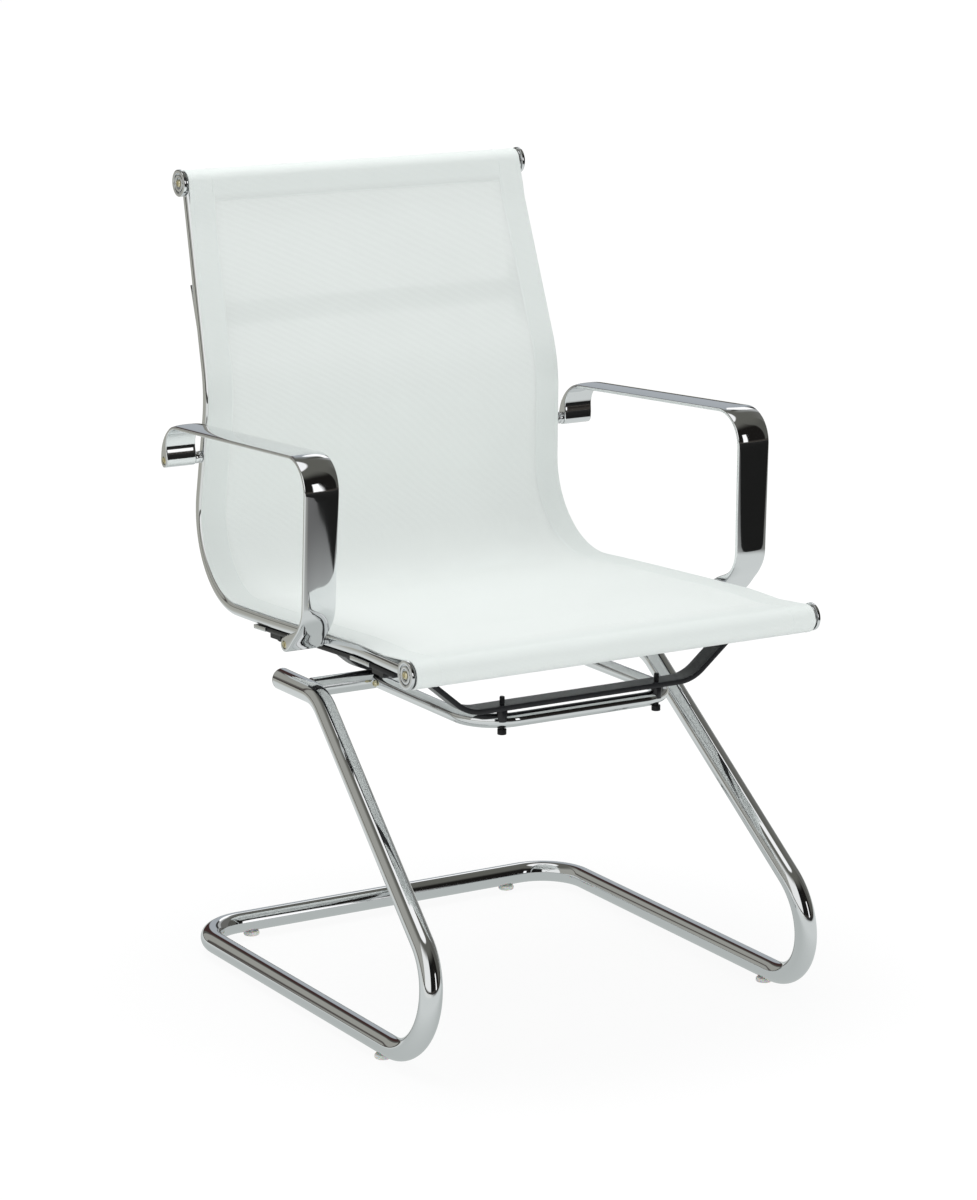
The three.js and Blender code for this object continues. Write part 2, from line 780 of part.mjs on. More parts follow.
function braceScrewHoles() {
  return braceScrewStations.map(({ station }) => {
    const deepest = railDepth / 2 - braceScrewDepth - fit;
    const hole = rodAlongY(braceScrewShank + 2 * fit, deepest, railDepth + overrun);
    return atRail(hole, braceScrewX(station), station);
  });
}

function braceScrew(station) {
  const seat = railDepth / 2 + fit + bracePlateThickness + fit;
  const tip = railDepth / 2 - braceScrewDepth;
  const outline = [
    [0, tip],
    [braceScrewShank / 2, tip],
    [braceScrewShank / 2, seat],
    [braceScrewHead / 2, seat],
    [braceScrewHead / 2, seat + braceScrewHeadHeight / 3],
    [braceScrewHead / 3, seat + braceScrewHeadHeight],
    [0, seat + braceScrewHeadHeight],
  ];
  return atRail(turned(outline, screwSides), braceScrewX(station), station);
}

// The brace: a flat bar between the rails, welded to a plate behind each rail
function backBrace() {
  const gap = railWidth + fit;
  const clearX = outerHalfWidth(braceStation.distance - braceHeight / 2) - gap;
  const backY = railDepth / 2 + fit + bracePlateThickness;
  const bar = new THREE.BoxGeometry(2 * clearX, braceThickness, braceHeight);
  bar.translate(0, backY - braceThickness / 2, 0);
  const inner = clearX - bracePlateWidth / 2;
  const plates = sides.map(({ sign }) => {
    const outer = outerHalfWidth(braceStation.distance) - railWidth / 2 + bracePlateWidth / 2;
    const plate = new THREE.BoxGeometry(outer - inner, bracePlateThickness, bracePlateHeight);
    return plate.translate((sign * (outer + inner)) / 2, backY - bracePlateThickness / 2, 0);
  });
  const brace = atRail(join([bar, ...plates]), 0, braceStation);
  return cut(brace, [...braceScrewHoles(), ...braceScrewHoles().map(mirrored)]);
}

// Top and front tubes
function hemTubePiece(halfLength, y, z) {
  const ends = [-halfLength, halfLength].map((x) => ({
    point: new THREE.Vector3(x, y, z),
    tangent: new THREE.Vector3(1, 0, 0),
  }));
  return bentTube(ends, hemTube, hemTubeWall);
}

function endCap() {
  const plug = hemTube / 2 - hemTubeWall - fit;
  const bore = capScrewShank / 2 + fit;
  const face = capNeckLength + capRim;
  const outline = [
    [bore, -capPlugLength],
    [plug, -capPlugLength],
    [plug, 0],
    [capNeck / 2, 0],
    [capNeck / 2, capNeckLength],
    [capDiameter / 2, capNeckLength],
    [capDiameter / 2, face],
    [capGroove / 2, face],
    [capGroove / 2, face - capGrooveDepth],
    [capBoss / 2, face - capGrooveDepth],
    [capBoss / 2, face],
    [capRecess / 2, face],
    [capRecess / 2, face - capRecessDepth],
    [bore, face - capRecessDepth],
    [bore, -capPlugLength],
  ];
  return turnedAlongX(outline, capSides);
}

function endCapScrew() {
  const seat = capNeckLength + capRim - capRecessDepth + fit;
  const outline = [
    [0, seat - capScrewLength],
    [capScrewShank / 2, seat - capScrewLength],
    [capScrewShank / 2, seat],
    [capScrewHead / 2, seat],
    [capScrewHead / 2, seat + capScrewHeadHeight / 2],
    [capScrewHead / 3, seat + capScrewHeadHeight],
    [0, seat + capScrewHeadHeight],
  ];
  return turnedAlongX(outline, screwSides);
}

// The same angle, counted on from another one
function onwardFrom(start, angle) {
  return start + THREE.MathUtils.euclideanModulo(angle - start, 2 * Math.PI);
}

// Where a line from a point touches a circle; turn is 1 or -1 and picks the side
function touchPoint(centre, radius, point, turn) {
  const away = point.clone().sub(centre);
  const angle = Math.atan2(away.y, away.x) + turn * Math.acos(radius / away.length());
  return centre.clone().add(inSideView(Math.cos(angle), Math.sin(angle)).multiplyScalar(radius));
}

function arcStations(centre, radius, fromAngle, toAngle) {
  const steps = Math.ceil(Math.abs(toAngle - fromAngle) / fineStep);
  const way = Math.sign(toAngle - fromAngle);
  return Array.from({ length: steps + 1 }, (_, i) => {
    const angle = fromAngle + ((toAngle - fromAngle) * i) / steps;
    const spoke = inSideView(Math.cos(angle), Math.sin(angle));
    const tangent = inSideView(-way * spoke.y, way * spoke.x);
    return { point: centre.clone().addScaledVector(spoke, radius), tangent };
  });
}

// The net goes from behind the top tube, over it, down the rails' front faces,
// along the seat, over the front tube and under it
function netSling() {
  const middle = railDepth / 2 + fit + netThickness / 2;
  const wrapRadius = hemTube / 2 + fit + netThickness / 2;
  const topCentre = inSideView(topTubeY, topTubeZ);
  const frontCentre = inSideView(frontTubeY, frontTubeZ);
  const onRails = stretchOf(railLine, netRamp, railLength - netRamp).map((station) => {
    const place = offsetPoint(station, middle);
    return { point: inSideView(place.x, place.y), tangent: station.tangent };
  });
  const angleOf = (point, centre) => Math.atan2(point.y - centre.y, point.x - centre.x);
  const topTouch = touchPoint(topCentre, wrapRadius, onRails[0].point, -1);
  const topStart = angleOf(inSideView(lumbarY, lumbarZ), topCentre) + netWrapAngle;
  const topEnd = onwardFrom(topStart, angleOf(topTouch, topCentre));
  const frontTouch = touchPoint(frontCentre, wrapRadius, onRails.at(-1).point, 1);
  const frontStart = angleOf(frontTouch, frontCentre);
  const frontBack = angleOf(inSideView(thighY, thighZ), frontCentre);
  const frontEnd = onwardFrom(frontStart, frontBack - netWrapAngle);
  const topArc = arcStations(topCentre, wrapRadius, topStart, topEnd);
  const frontArc = arcStations(frontCentre, wrapRadius, frontStart, frontEnd);
  const line = [...topArc, ...onRails, ...frontArc];
  const outline = ribbonOutline(line, () => -netThickness / 2, () => netThickness / 2);
  const net = acrossChair(outline, -seatHalfWidth, 2 * seatHalfWidth);
  return placeAcross(net, (x, y, z) => Math.sign(x) * outerHalfWidthNear(y, z));
}

// Arms: the bar's centreline, with stations of its own where it thickens to a boss
function armStations() {
  const [rear, lower] = armMounts;
  const corners = [
    rear.place.clone(),
    inSideView(armRearCornerY, armRearCornerZ),
    inSideView(armFrontCornerY, armFrontCornerZ),
    inSideView(armLowerCornerY, armLowerCornerZ),
    lower.place.clone(),
  ];
  const bends = stationsAlong(corners, [armRearRadius, armFrontRadius, armLowerRadius], fineStep);
  const total = bends.at(-1).distance;
  const flareShares = [1, 0.7, 0.5, 0.3];
  return flareShares.map((share) => total - share * armFlareLength).reduce(addStation, bends);
}

// Half the bar's thickness, from the line's two ends towards its middle
function armHalfThickness(distance, total) {
  const fromEnd = Math.min(distance, total - distance);
  const boss = distance < total / 2 ? armRearBoss : armLowerBoss;
  const flare = THREE.MathUtils.clamp(1 - fromEnd / armFlareLength, 0, 1) ** 2;
  return THREE.MathUtils.lerp(armThickness / 2, boss / 2 - armEdge, flare);
}

// The bar's edges run straight from each boss to the front corner
function armEdgesAt(distance, cornerDistance, total) {
  const [rear, lower] = armMounts;
  const [mount, end] = distance < cornerDistance ? [rear, rear.boss / 2] : [lower, total - lower.boss / 2];
  const share = THREE.MathUtils.clamp((distance - end) / (cornerDistance - end), 0, 1);
  const cornerX = seatHalfWidth + armOverhang;
  return {
    outer: THREE.MathUtils.lerp(mount.outerX, cornerX, share),
    inner: THREE.MathUtils.lerp(mount.innerX, cornerX - armFrontWidth, share),
  };
}

function arm() {
  const line = armStations();
  const total = line.at(-1).distance;
  const cornerDistance = nearestDistance(line, armFrontCornerY, armFrontCornerZ);
  const half = (distance) => armHalfThickness(distance, total);
  const outline = ribbonOutline(line, (distance) => -half(distance), half);
  const bar = acrossChair(outline, 0, armFrontWidth, armEdge);
  placeAcross(bar, (x, y, z) => {
    const { inner, outer } = armEdgesAt(nearestDistance(line, y, z), cornerDistance, total);
    return THREE.MathUtils.lerp(inner, outer, x / armFrontWidth);
  });
  const bosses = armMounts.map((mount) => {
    const boss = rodAlongX(mount.boss, mount.innerX, mount.outerX, tubeSides);
    return boss.translate(0, mount.place.x, mount.place.y);
  });
  const bores = armMounts.flatMap((mount) => {
    const past = mount.outerX + overrun;
    const bore = rodAlongX(armScrewShank + 2 * fit, mount.innerX - overrun, past);
    const recess = rodAlongX(armScrewRecess, mount.outerX - armScrewRecessDepth, past);
    return [bore, recess].map((tool) => tool.translate(0, mount.place.x, mount.place.y));
  });
  return cut(join([bar, ...bosses]), bores);
}

function armSpacerPiece(mount) {
  const bore = armScrewShank / 2 + fit;
  const { spacerFromX: from, spacerToX: to } = mount;
  const groove = (to - from) / 4;
  const outline = [
    [bore, from],
    [armSpacer / 2, from],
    [armSpacer / 2, from + groove],
    [armSpacer / 2 - armSpacerGroove, from + groove],
    [armSpacer / 2 - armSpacerGroove, from + 2 * groove],
    [armSpacer / 2, from + 2 * groove],
    [armSpacer / 2, to],
    [bore, to],
    [bore, from],
  ];
  return turnedAlongX(outline, capSides / 2).translate(0, mount.place.x, mount.place.y);
}

function armScrew(mount) {
  const seat = mount.outerX - armScrewRecessDepth + fit;
  const tip = mount.spacerFromX - fit - armScrewGrip;
  const outline = [
    [0, tip],
    [armScrewShank / 2, tip],
    [armScrewShank / 2, seat],
    [armScrewHead / 2, seat],
    [armScrewHead / 2, seat + armScrewHeadHeight / 2],
    [armScrewHead / 3, seat + armScrewHeadHeight],
    [0, seat + armScrewHeadHeight],
  ];
  return turnedAlongX(outline, screwSides).translate(0, mount.place.x, mount.place.y);
}

function glide() {
  const half = glideDiameter / 2;
  const top = glideHeight - fit;
  const outline = [
    [0, 0],
    [half - glideChamfer, 0],
    [half, glideChamfer],
    [half, top - glideChamfer],
    [half - glideChamfer, top],
    [glideStem / 2, top],
    [glideStem / 2, top + glideStemLength],
    [0, top + glideStemLength],
  ];
  return turnedAlongZ(outline, capSides / 2);
}

function stubPlug() {
  const bore = sledTube / 2 - sledWall - fit;
  const outline = [
    [0, -stubPlugLength],
    [bore, -stubPlugLength],
    [bore, fit],
    [sledTube / 2, fit],
    [sledTube / 2, stubPlugDome / 3],
    [sledTube / 3, stubPlugDome],
    [0, stubPlugDome],
  ];
  return turned(outline, tubeSides);
}

addPiece('sled_frame', sledFrame(), chrome);
addPiece('upper_cross_tube', upperCrossTube(), chrome);
addPiece('support_loop', supportLoop(), chrome);
addPiece('top_tube', hemTubePiece(capSeatTop - fit, topTubeY, topTubeZ), chrome);
addPiece('front_tube', hemTubePiece(capSeatFront - fit, frontTubeY, frontTubeZ), chrome);
addPiece('back_brace', backBrace(), chrome);
addPiece('net_sling', netSling(), whiteNet);

for (const bar of crossBars) {
  addPiece(`${bar.name}_cross_bar`, crossBarPiece(bar), blackSteel);
}

for (const side of sides) {
  const { name, sign } = side;
  addPiece(`stub_plug_${name}`, stubPlug().translate(sign * stubHalfWidth, stubEndY, stubZ), blackSteel);
  addPiece(`loop_screw_${name}`, onSide(loopScrew(), side), zinc);
  addPiece(`side_rail_${name}`, onSide(sideRail(), side), chrome);
  addPiece(`side_plate_${name}`, onSide(sidePlate(), side), blackSteel);
  const rearClip = railClip(sidePlateRearY, sidePlateRearY - clipLength);
  const frontClip = railClip(frontClipY + frontClipLength / 2, frontClipY - frontClipLength / 2);
  addPiece(`rail_clip_rear_${name}`, onSide(rearClip, side), zinc);
  addPiece(`rail_clip_front_${name}`, onSide(frontClip, side), zinc);
  addPiece(`arm_${name}`, onSide(arm(), side), chrome);
  for (const mount of armMounts) {
    addPiece(`arm_spacer_${mount.name}_${name}`, onSide(armSpacerPiece(mount), side), chrome);
    addPiece(`arm_screw_${mount.name}_${name}`, onSide(armScrew(mount), side), zinc);
  }
  for (const bar of crossBars) {
    const bolt = onBarTube(crossBarBolt(bar).translate(boltX, 0, 0), bar);
    addPiece(`${bar.name}_bar_bolt_${name}`, onSide(bolt, side), blackBolt);
    const screw = onBarTube(flangeScrew(bar).translate(flangeScrewX, bar.setback, 0), bar);
    addPiece(`${bar.name}_flange_screw_${name}`, onSide(screw, side), blackBolt);
  }
  addPiece(`front_bar_spacer_${name}`, onSide(frontBarSpacer(), side), zinc);
  for (const { name: height, station } of braceScrewStations) {
    addPiece(`brace_screw_${height}_${name}`, onSide(braceScrew(station), side), zinc);
  }
  const caps = [
    { name: 'top', x: capSeatTop, y: topTubeY, z: topTubeZ },
    { name: 'front', x: capSeatFront, y: frontTubeY, z: frontTubeZ },
  ];
  for (const cap of caps) {
    const place = (geometry) => onSide(geometry.translate(cap.x, cap.y, cap.z), side);
    addPiece(`${cap.name}_cap_${name}`, place(endCap()), chrome);
    addPiece(`${cap.name}_cap_screw_${name}`, place(endCapScrew()), zinc);
  }
  for (const place of glidePlaces) {
    addPiece(`glide_${place.name}_${name}`, glide().translate(sign * place.x, place.y, 0), paleNylon);
  }
}

// The origin lies on the floor under the middle of the chair's box
const box = new THREE.Box3().setFromObject(chair);
const middle = box.getCenter(new THREE.Vector3());
for (const piece of chair.children) piece.geometry.translate(-middle.x, -middle.y, -box.min.z);

export default chair;
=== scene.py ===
# %% [markdown]
# # Sled base visitor chair
#
# A white net is stretched between two chromed rails, which hang on a bent tube that runs
# along the floor like a sledge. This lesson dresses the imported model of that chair: it keeps
# every size of the model and gives each piece the smooth bends, edges, weave and finish of
# the real one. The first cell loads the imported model, which fixes where everything is.

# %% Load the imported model
from math import acos, atan2, ceil, cos, pi, radians, sin, sqrt, tan

import bmesh
import bpy
from mathutils import Euler, Matrix, Vector


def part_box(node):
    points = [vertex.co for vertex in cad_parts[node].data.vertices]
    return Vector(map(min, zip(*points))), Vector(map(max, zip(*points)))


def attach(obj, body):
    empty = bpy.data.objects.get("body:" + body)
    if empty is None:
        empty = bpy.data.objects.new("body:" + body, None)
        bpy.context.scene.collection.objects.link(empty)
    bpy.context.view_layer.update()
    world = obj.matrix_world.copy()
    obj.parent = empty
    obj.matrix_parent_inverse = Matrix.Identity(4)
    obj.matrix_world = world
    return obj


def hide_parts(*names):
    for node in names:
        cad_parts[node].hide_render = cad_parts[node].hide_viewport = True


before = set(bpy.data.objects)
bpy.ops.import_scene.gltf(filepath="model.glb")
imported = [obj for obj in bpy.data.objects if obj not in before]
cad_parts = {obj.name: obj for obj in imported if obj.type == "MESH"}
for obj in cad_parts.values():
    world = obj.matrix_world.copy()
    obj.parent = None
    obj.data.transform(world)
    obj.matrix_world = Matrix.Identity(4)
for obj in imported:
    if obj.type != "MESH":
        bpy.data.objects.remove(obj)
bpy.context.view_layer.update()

# %% [markdown]
# ## The camera
#
# The picture was taken from the sitter's front right, from a little above, with a long lens.
# The focal length is known in pixels of a picture 1200 high, so it is turned into
# millimetres for a sensor of that height.

# %% Camera
camera_azimuth = radians(-30.75)
camera_elevation = radians(13.15)
camera_place = Vector((-2.1394, -3.60965, 1.4147))
focal_pixels = 3813.5
picture_height = 1200
sensor_height = 36

camera = bpy.data.objects.new("camera", bpy.data.cameras.new("camera"))
bpy.context.scene.collection.objects.link(camera)
camera.data.sensor_fit = "VERTICAL"
camera.data.sensor_height = sensor_height
camera.data.lens = focal_pixels / picture_height * sensor_height
camera.data.clip_end = 100
camera_turn = Euler((pi / 2 - camera_elevation, 0, camera_azimuth))
camera.matrix_world = Matrix.Translation(camera_place) @ camera_turn.to_matrix().to_4x4()
bpy.context.scene.camera = camera
print("lens:", round(camera.data.lens, 1), "mm")

# %% [markdown]
# ## Helpers for node trees
#
# A node's input takes a number, a colour or another node's output. One helper feeds any of
# these, so that a node is added, set and joined in one statement. The others do small sums:
# they spread a value, ease a step or blend two colours.

# %% Node helpers
def feed(tree, value, target):
    """Gives an input a number, a colour or another node's output."""
    if isinstance(value, bpy.types.NodeSocket):
        tree.links.new(value, target)
    elif isinstance(value, tuple):
        target.default_value = (*value, 1)
    else:
        target.default_value = value


def add_node(tree, kind, inputs=None, **settings):
    """Adds a node with its settings, feeds its inputs and returns its outputs."""
    node = tree.nodes.new(kind)
    for name, value in settings.items():
        setattr(node, name, value)
    for name, value in (inputs or {}).items():
        feed(tree, value, node.inputs[name])
    return node.outputs


def compute(tree, operation, *values):
    return add_node(tree, "ShaderNodeMath", dict(enumerate(values)), operation=operation)[0]


def spread(tree, source, low, high):
    """Maps a value from 0..1 to low..high."""
    limits = {"Value": source, "To Min": low, "To Max": high}
    return add_node(tree, "ShaderNodeMapRange", limits)["Result"]


def eased_step(tree, source, low, high, start=0.0, end=1.0):
    """Goes softly from start to end while the source goes from low to high."""
    limits = {"Value": source, "From Min": low, "From Max": high, "To Min": start, "To Max": end}
    return add_node(tree, "ShaderNodeMapRange", limits, interpolation_type="SMOOTHSTEP")["Result"]


def blended(tree, factor, first, second):
    """A colour between two, with Blender's numbers for the inputs of a colour mix."""
    return add_node(tree, "ShaderNodeMix", {0: factor, 6: first, 7: second}, data_type="RGBA")[2]


def split(tree, vector):
    return add_node(tree, "ShaderNodeSeparateXYZ", {"Vector": vector})


# %% [markdown]
# ## Metal and plastic finishes
#
# Polished chrome is almost a mirror, so what it shows is the room. A broad, faint smear
# makes its gloss uneven, as handling does, and a wide ripple from polishing bends the
# reflections a little. The screws are yellow zinc plate and the clips a brighter one. The
# black pieces are powder coated, which leaves a fine orange-peel grain, and the glides are
# pale nylon that lets some light in.

# %% Metal and plastic
def new_finish(name, colour, **inputs):
    finish = bpy.data.materials.new(name)
    finish.use_nodes = True
    tree = finish.node_tree
    shader = tree.nodes["Principled BSDF"]
    feed(tree, colour, shader.inputs["Base Color"])
    for label, value in inputs.items():
        feed(tree, value, shader.inputs[label.replace("_", " ")])
    return finish, tree, shader


def object_noise(tree, scale, detail):
    place = add_node(tree, "ShaderNodeTexCoord")["Object"]
    noise = add_node(tree, "ShaderNodeTexNoise", {"Vector": place, "Scale": scale, "Detail": detail})
    return noise["Fac"]


def add_bump(tree, shader, height, strength, distance):
    bump = add_node(
        tree, "ShaderNodeBump", {"Height": height, "Strength": strength, "Distance": distance},
    )
    feed(tree, bump["Normal"], shader.inputs["Normal"])


def add_grain(tree, shader, scale, detail, gloss=None, bump=None):
    """One noise that spreads the roughness between two values, raises bumps, or both."""
    noise = object_noise(tree, scale, detail)
    if gloss:
        feed(tree, spread(tree, noise, *gloss), shader.inputs["Roughness"])
    if bump:
        add_bump(tree, shader, noise, *bump)


def grained(name, colour, scale, detail, gloss=None, bump=None, **inputs):
    finish, tree, shader = new_finish(name, colour, **inputs)
    add_grain(tree, shader, scale, detail, gloss, bump)
    return finish


chrome, tree, shader = new_finish("chrome", (0.80, 0.81, 0.82), Metallic=1)
add_grain(tree, shader, 30, 1, gloss=(0.03, 0.06))
add_grain(tree, shader, 22, 1, bump=(0.02, 0.001))
bright_zinc = grained("bright_zinc", (0.74, 0.75, 0.75), 150, 2, (0.2, 0.3), Metallic=1)
zinc = grained("zinc", (0.74, 0.68, 0.47), 700, 3, (0.12, 0.3), (0.15, 0.0002), Metallic=1)
black_steel = grained("black_steel", (0.006, 0.006, 0.008), 900, 3, (0.24, 0.36), (0.25, 0.0003))
black_bolt = grained("black_bolt", (0.02, 0.02, 0.021), 500, 2, (0.3, 0.5), Metallic=0.8)
black_plastic = grained("black_plastic", (0.018,) * 3, 1200, 2, bump=(0.3, 0.0002), Roughness=0.5)
nylon = grained(
    "nylon", (0.86, 0.85, 0.81), 150, 2, (0.38, 0.55), Subsurface_Weight=0.4, Subsurface_Scale=0.003,
)
print("hard finishes:", [material.name for material in bpy.data.materials])

# %% [markdown]
# ## The net's finish
#
# The net is woven from coated polyester yarn, about nine yarns to the centimetre, with small
# gaps in between that let a little of what is behind show through. The weave has to follow
# the cloth round the tubes, so it reads the piece's own UV map, which is in metres. Two sets
# of bands, one for each direction of yarn, give the height of the yarns, and where both are
# low there is a gap. Two values on the mesh's points set how much a gap lets through. One,
# "doubled", is high in the hems, where the second layer nearly closes it. The other,
# "upright", is high on the back, which is seen square on, and low on the seat, which isn't.

# %% Net
yarn_pitch = 0.0011  # metres between yarns
weft_stretch = 1.25  # the weft's pitch over the warp's
back_gap_share = 0.40  # of what lies behind the single cloth of the back, seen square on
seat_gap_share = 0.16  # of what lies behind the seat, seen at a low angle
hem_gap_share = 0.08
on_a_yarn, in_a_gap = 0.75, 0.45  # heights of the weave
closed_share = 0.35  # what a yarn lets through, beside a gap
# The hems' darker tone is painted shade: the same cloth, shown darker for the double layer's own shadow.
single_tone, hem_painted_shade_tone, soil = (0.89, 0.925, 0.905), (0.82, 0.86, 0.84), (0.3, 0.3, 0.28)
most_soil = 0.04


def yarn_bands(tree, along, pitch):
    """A wave from 0 to 1 that repeats every pitch."""
    wave = compute(tree, "SINE", compute(tree, "MULTIPLY", along, 2 * pi / pitch))
    return compute(tree, "MULTIPLY_ADD", wave, 0.5, 0.5)


net, tree, shader = new_finish("net", single_tone, Roughness=0.75, Sheen_Weight=0.15, Sheen_Roughness=0.5)
cloth_place = split(tree, add_node(tree, "ShaderNodeUVMap", uv_map="weave")["UV"])
warp = yarn_bands(tree, cloth_place["X"], yarn_pitch)
weft = yarn_bands(tree, cloth_place["Y"], yarn_pitch * weft_stretch)
yarns = compute(tree, "MAXIMUM", warp, weft)
add_bump(tree, shader, yarns, 0.5, 0.0003)

doubled, upright = (
    add_node(tree, "ShaderNodeAttribute", attribute_name=name)["Fac"] for name in ("doubled", "upright")
)
single_gap = spread(tree, upright, seat_gap_share, back_gap_share)
gap_size = blended(tree, doubled, single_gap, (hem_gap_share,) * 3)
opening = eased_step(tree, yarns, on_a_yarn, in_a_gap, closed_share, 1.0)
see_through = compute(tree, "MULTIPLY", gap_size, opening)
feed(tree, compute(tree, "SUBTRACT", 1, see_through), shader.inputs["Alpha"])
soiling = spread(tree, object_noise(tree, 9, 3), most_soil, 0.0)
# Towards the hems the colour goes to the darker tone, which is painted shade.
tone = blended(tree, doubled, single_tone, hem_painted_shade_tone)
feed(tree, blended(tree, soiling, tone, soil), shader.inputs["Base Color"])

thread = grained("thread", (0.82, 0.86, 0.85), 1500, 1, bump=(0.4, 0.0002), Roughness=0.6)
print("yarns to the centimetre:", round(0.01 / yarn_pitch, 1))

# %% [markdown]
# ## Points, lines and bends
#
# The sizes of this chair are in millimetres, measured from a plane near its middle, so one
# helper turns such a point into a place in the frame. Tubes and bars are given by the
# corners of their centreline and a radius for each bend. The next helper walks along such a
# line and returns stations: a point, the direction there and the distance walked.

# %% Stations along a bent line
mm = 0.001
top_tube_y = 296.1
top_tube_z = 889
left_and_right = (("left", 1), ("right", -1))
frame_shift = sum(corner[1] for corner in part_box("top_tube")) / 2 / mm - top_tube_y
print("the frame's middle lies", round(-frame_shift, 3), "mm from the measuring plane")


def to_frame(point):
    x, y, z = point
    return Vector((x, y + frame_shift, z)) * mm


def bend(before, corner, after, radius, step):
    """Stations round one corner."""
    back = (before - corner).normalized()
    onward = (after - corner).normalized()
    turn = pi - back.angle(onward)
    middle = corner + (back + onward).normalized() * (radius / cos(turn / 2))
    axis = onward.cross(back).normalized()
    start = corner + back * (radius * tan(turn / 2)) - middle
    steps = max(1, ceil(turn / step))
    for i in range(steps + 1):
        turned = Matrix.Rotation(turn * i / steps, 3, axis)
        yield middle + turned @ start, turned @ -back


def stations_along(corners, radii, step=radians(2.5), longest=12):
    corners = [Vector(corner) for corner in corners]
    knots = [(corners[0], (corners[1] - corners[0]).normalized())]
    for before, corner, after, radius in zip(corners, corners[1:], corners[2:], radii):
        knots.extend(bend(before, corner, after, radius, step))
    knots.append((corners[-1], (corners[-1] - corners[-2]).normalized()))
    stations = [(*knots[0], 0.0)]
    for point, direction in knots[1:]:
        last, last_direction, walked = stations[-1]
        length = (point - last).length
        pieces = max(1, ceil(length / longest))
        for i in range(1, pieces + 1):
            share = i / pieces
            between = last_direction.lerp(direction, share).normalized()
            stations.append((last.lerp(point, share), between, walked + share * length))
    return stations


def mirrored_line(corners, radii, step):
    """Stations along a line that goes on through its own mirror image."""
    other_half = [(-x, y, z) for x, y, z in reversed(corners)]
    return stations_along(corners + other_half, radii + radii[::-1], step)


def station_at(line, walked):
    return min(line, key=lambda station: abs(station[2] - walked))


def station_near(line, point):
    return min(line, key=lambda station: (station[0] - point).length)


# %% [markdown]
# ## Skins, turned pieces and finished pieces
#
# A skin is laid over rings of points, as plating is laid over the ribs of a boat, and it
# makes rails, arms, bars and the net alike. Turned pieces are skins whose rings are circles
# round the Z axis, with every corner of their outline eased a little, because real edges
# catch the light. The last helper says what each piece stands for and what carries it.

# %% Skins
merge_distance = 2e-6  # metres
least_turn = radians(8)  # a flatter corner stays as it is
ease_step = radians(25)
ease_room = 0.45  # of the shorter side beside a corner


def new_object(name, mesh):
    piece = bpy.data.objects.new(name, mesh)
    bpy.context.scene.collection.objects.link(piece)
    return piece


def smooth(mesh, sharp_angle=35):
    mesh.shade_smooth()
    mesh.set_sharp_from_angle(angle=radians(sharp_angle))


def cleaned(piece, merge=merge_distance):
    """Merges doubles, turns every face outwards and shades the piece smooth."""
    shell = bmesh.new()
    shell.from_mesh(piece.data)
    bmesh.ops.remove_doubles(shell, verts=shell.verts, dist=merge)
    bmesh.ops.dissolve_degenerate(shell, edges=shell.edges, dist=merge)
    bmesh.ops.recalc_face_normals(shell, faces=shell.faces)
    shell.to_mesh(piece.data)
    shell.free()
    smooth(piece.data)
    return piece


def settled(piece):
    """Runs a piece's modifiers and keeps the result as its plain mesh."""
    graph = bpy.context.evaluated_depsgraph_get()
    made = bpy.data.meshes.new_from_object(piece.evaluated_get(graph), depsgraph=graph)
    piece.modifiers.clear()
    piece.data = made
    return piece


def skin(name, rings, finish, placed=to_frame, merge=merge_distance):
    count = len(rings[0])
    points = [placed(point) for ring in rings for point in ring]
    faces = [tuple(range(count)), tuple(range(len(points) - count, len(points)))]
    for i in range(len(rings) - 1):
        for j in range(count):
            here, beside = i * count + j, i * count + (j + 1) % count
            faces.append((here, beside, beside + count, here + count))
    mesh = bpy.data.meshes.new(name)
    mesh.from_pydata(points, [], faces)
    mesh.materials.append(finish)
    return cleaned(new_object(name, mesh), merge)


def eased(outline, radius):
    """Rounds the corners of an outline, each as far as its neighbours leave room."""
    corners = [Vector((r, 0, h)) for r, h in outline]
    line = [corners[0]]
    for before, corner, after in zip(corners, corners[1:], corners[2:]):
        turn = pi - (before - corner).angle(after - corner)
        if turn < least_turn:
            line.append(corner)
            continue
        room = ease_room * min((before - corner).length, (after - corner).length)
        fit = min(radius, room / tan(turn / 2))
        line.extend(point for point, _ in bend(before, corner, after, fit, ease_step))
    return [(max(0, point.x), point.z) for point in [*line, corners[-1]]]


def turned_piece(name, outline, finish, sides, ease):
    spokes = [(cos(2 * pi * i / sides), sin(2 * pi * i / sides)) for i in range(sides)]
    rings = [[(r * x, r * y, h) for x, y in spokes] for r, h in eased(outline, ease)]
    return skin(name, rings, finish, placed=lambda point: Vector(point) * mm)


def finished(piece, slot, *nodes):
    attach(piece, "root")
    if nodes:
        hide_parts(*nodes)
    print(piece.name, "-", len(piece.data.polygons), "faces, for", ", ".join(nodes) or "detail")
    return piece


# %% [markdown]
# ## A tube along a path, with Geometry Nodes
#
# All of the chair's round tubes follow one rule: a circle drawn along a line. So one small
# tree serves every tube with other sizes. It turns the host mesh, which is only a line, into
# a curve, sweeps a circle along it and gives it a finish. Afterwards the result is made a
# plain mesh and the modifier goes.

# %% Tube tree
def new_tree(name, **inputs):
    tree = bpy.data.node_groups.new(name, "GeometryNodeTree")
    for label, kind in {"Geometry": "Geometry", **inputs}.items():
        tree.interface.new_socket(label, in_out="INPUT", socket_type="NodeSocket" + kind)
    tree.interface.new_socket("Geometry", in_out="OUTPUT", socket_type="NodeSocketGeometry")
    return tree, add_node(tree, "NodeGroupInput")


def close_tree(tree, geometry, finish):
    """Ends a tree: instances made real, then the finish."""
    real = add_node(tree, "GeometryNodeRealizeInstances", {"Geometry": geometry})
    painted = add_node(
        tree, "GeometryNodeSetMaterial", {"Geometry": real["Geometry"], "Material": finish},
    )
    add_node(tree, "NodeGroupOutput", {0: painted["Geometry"]})


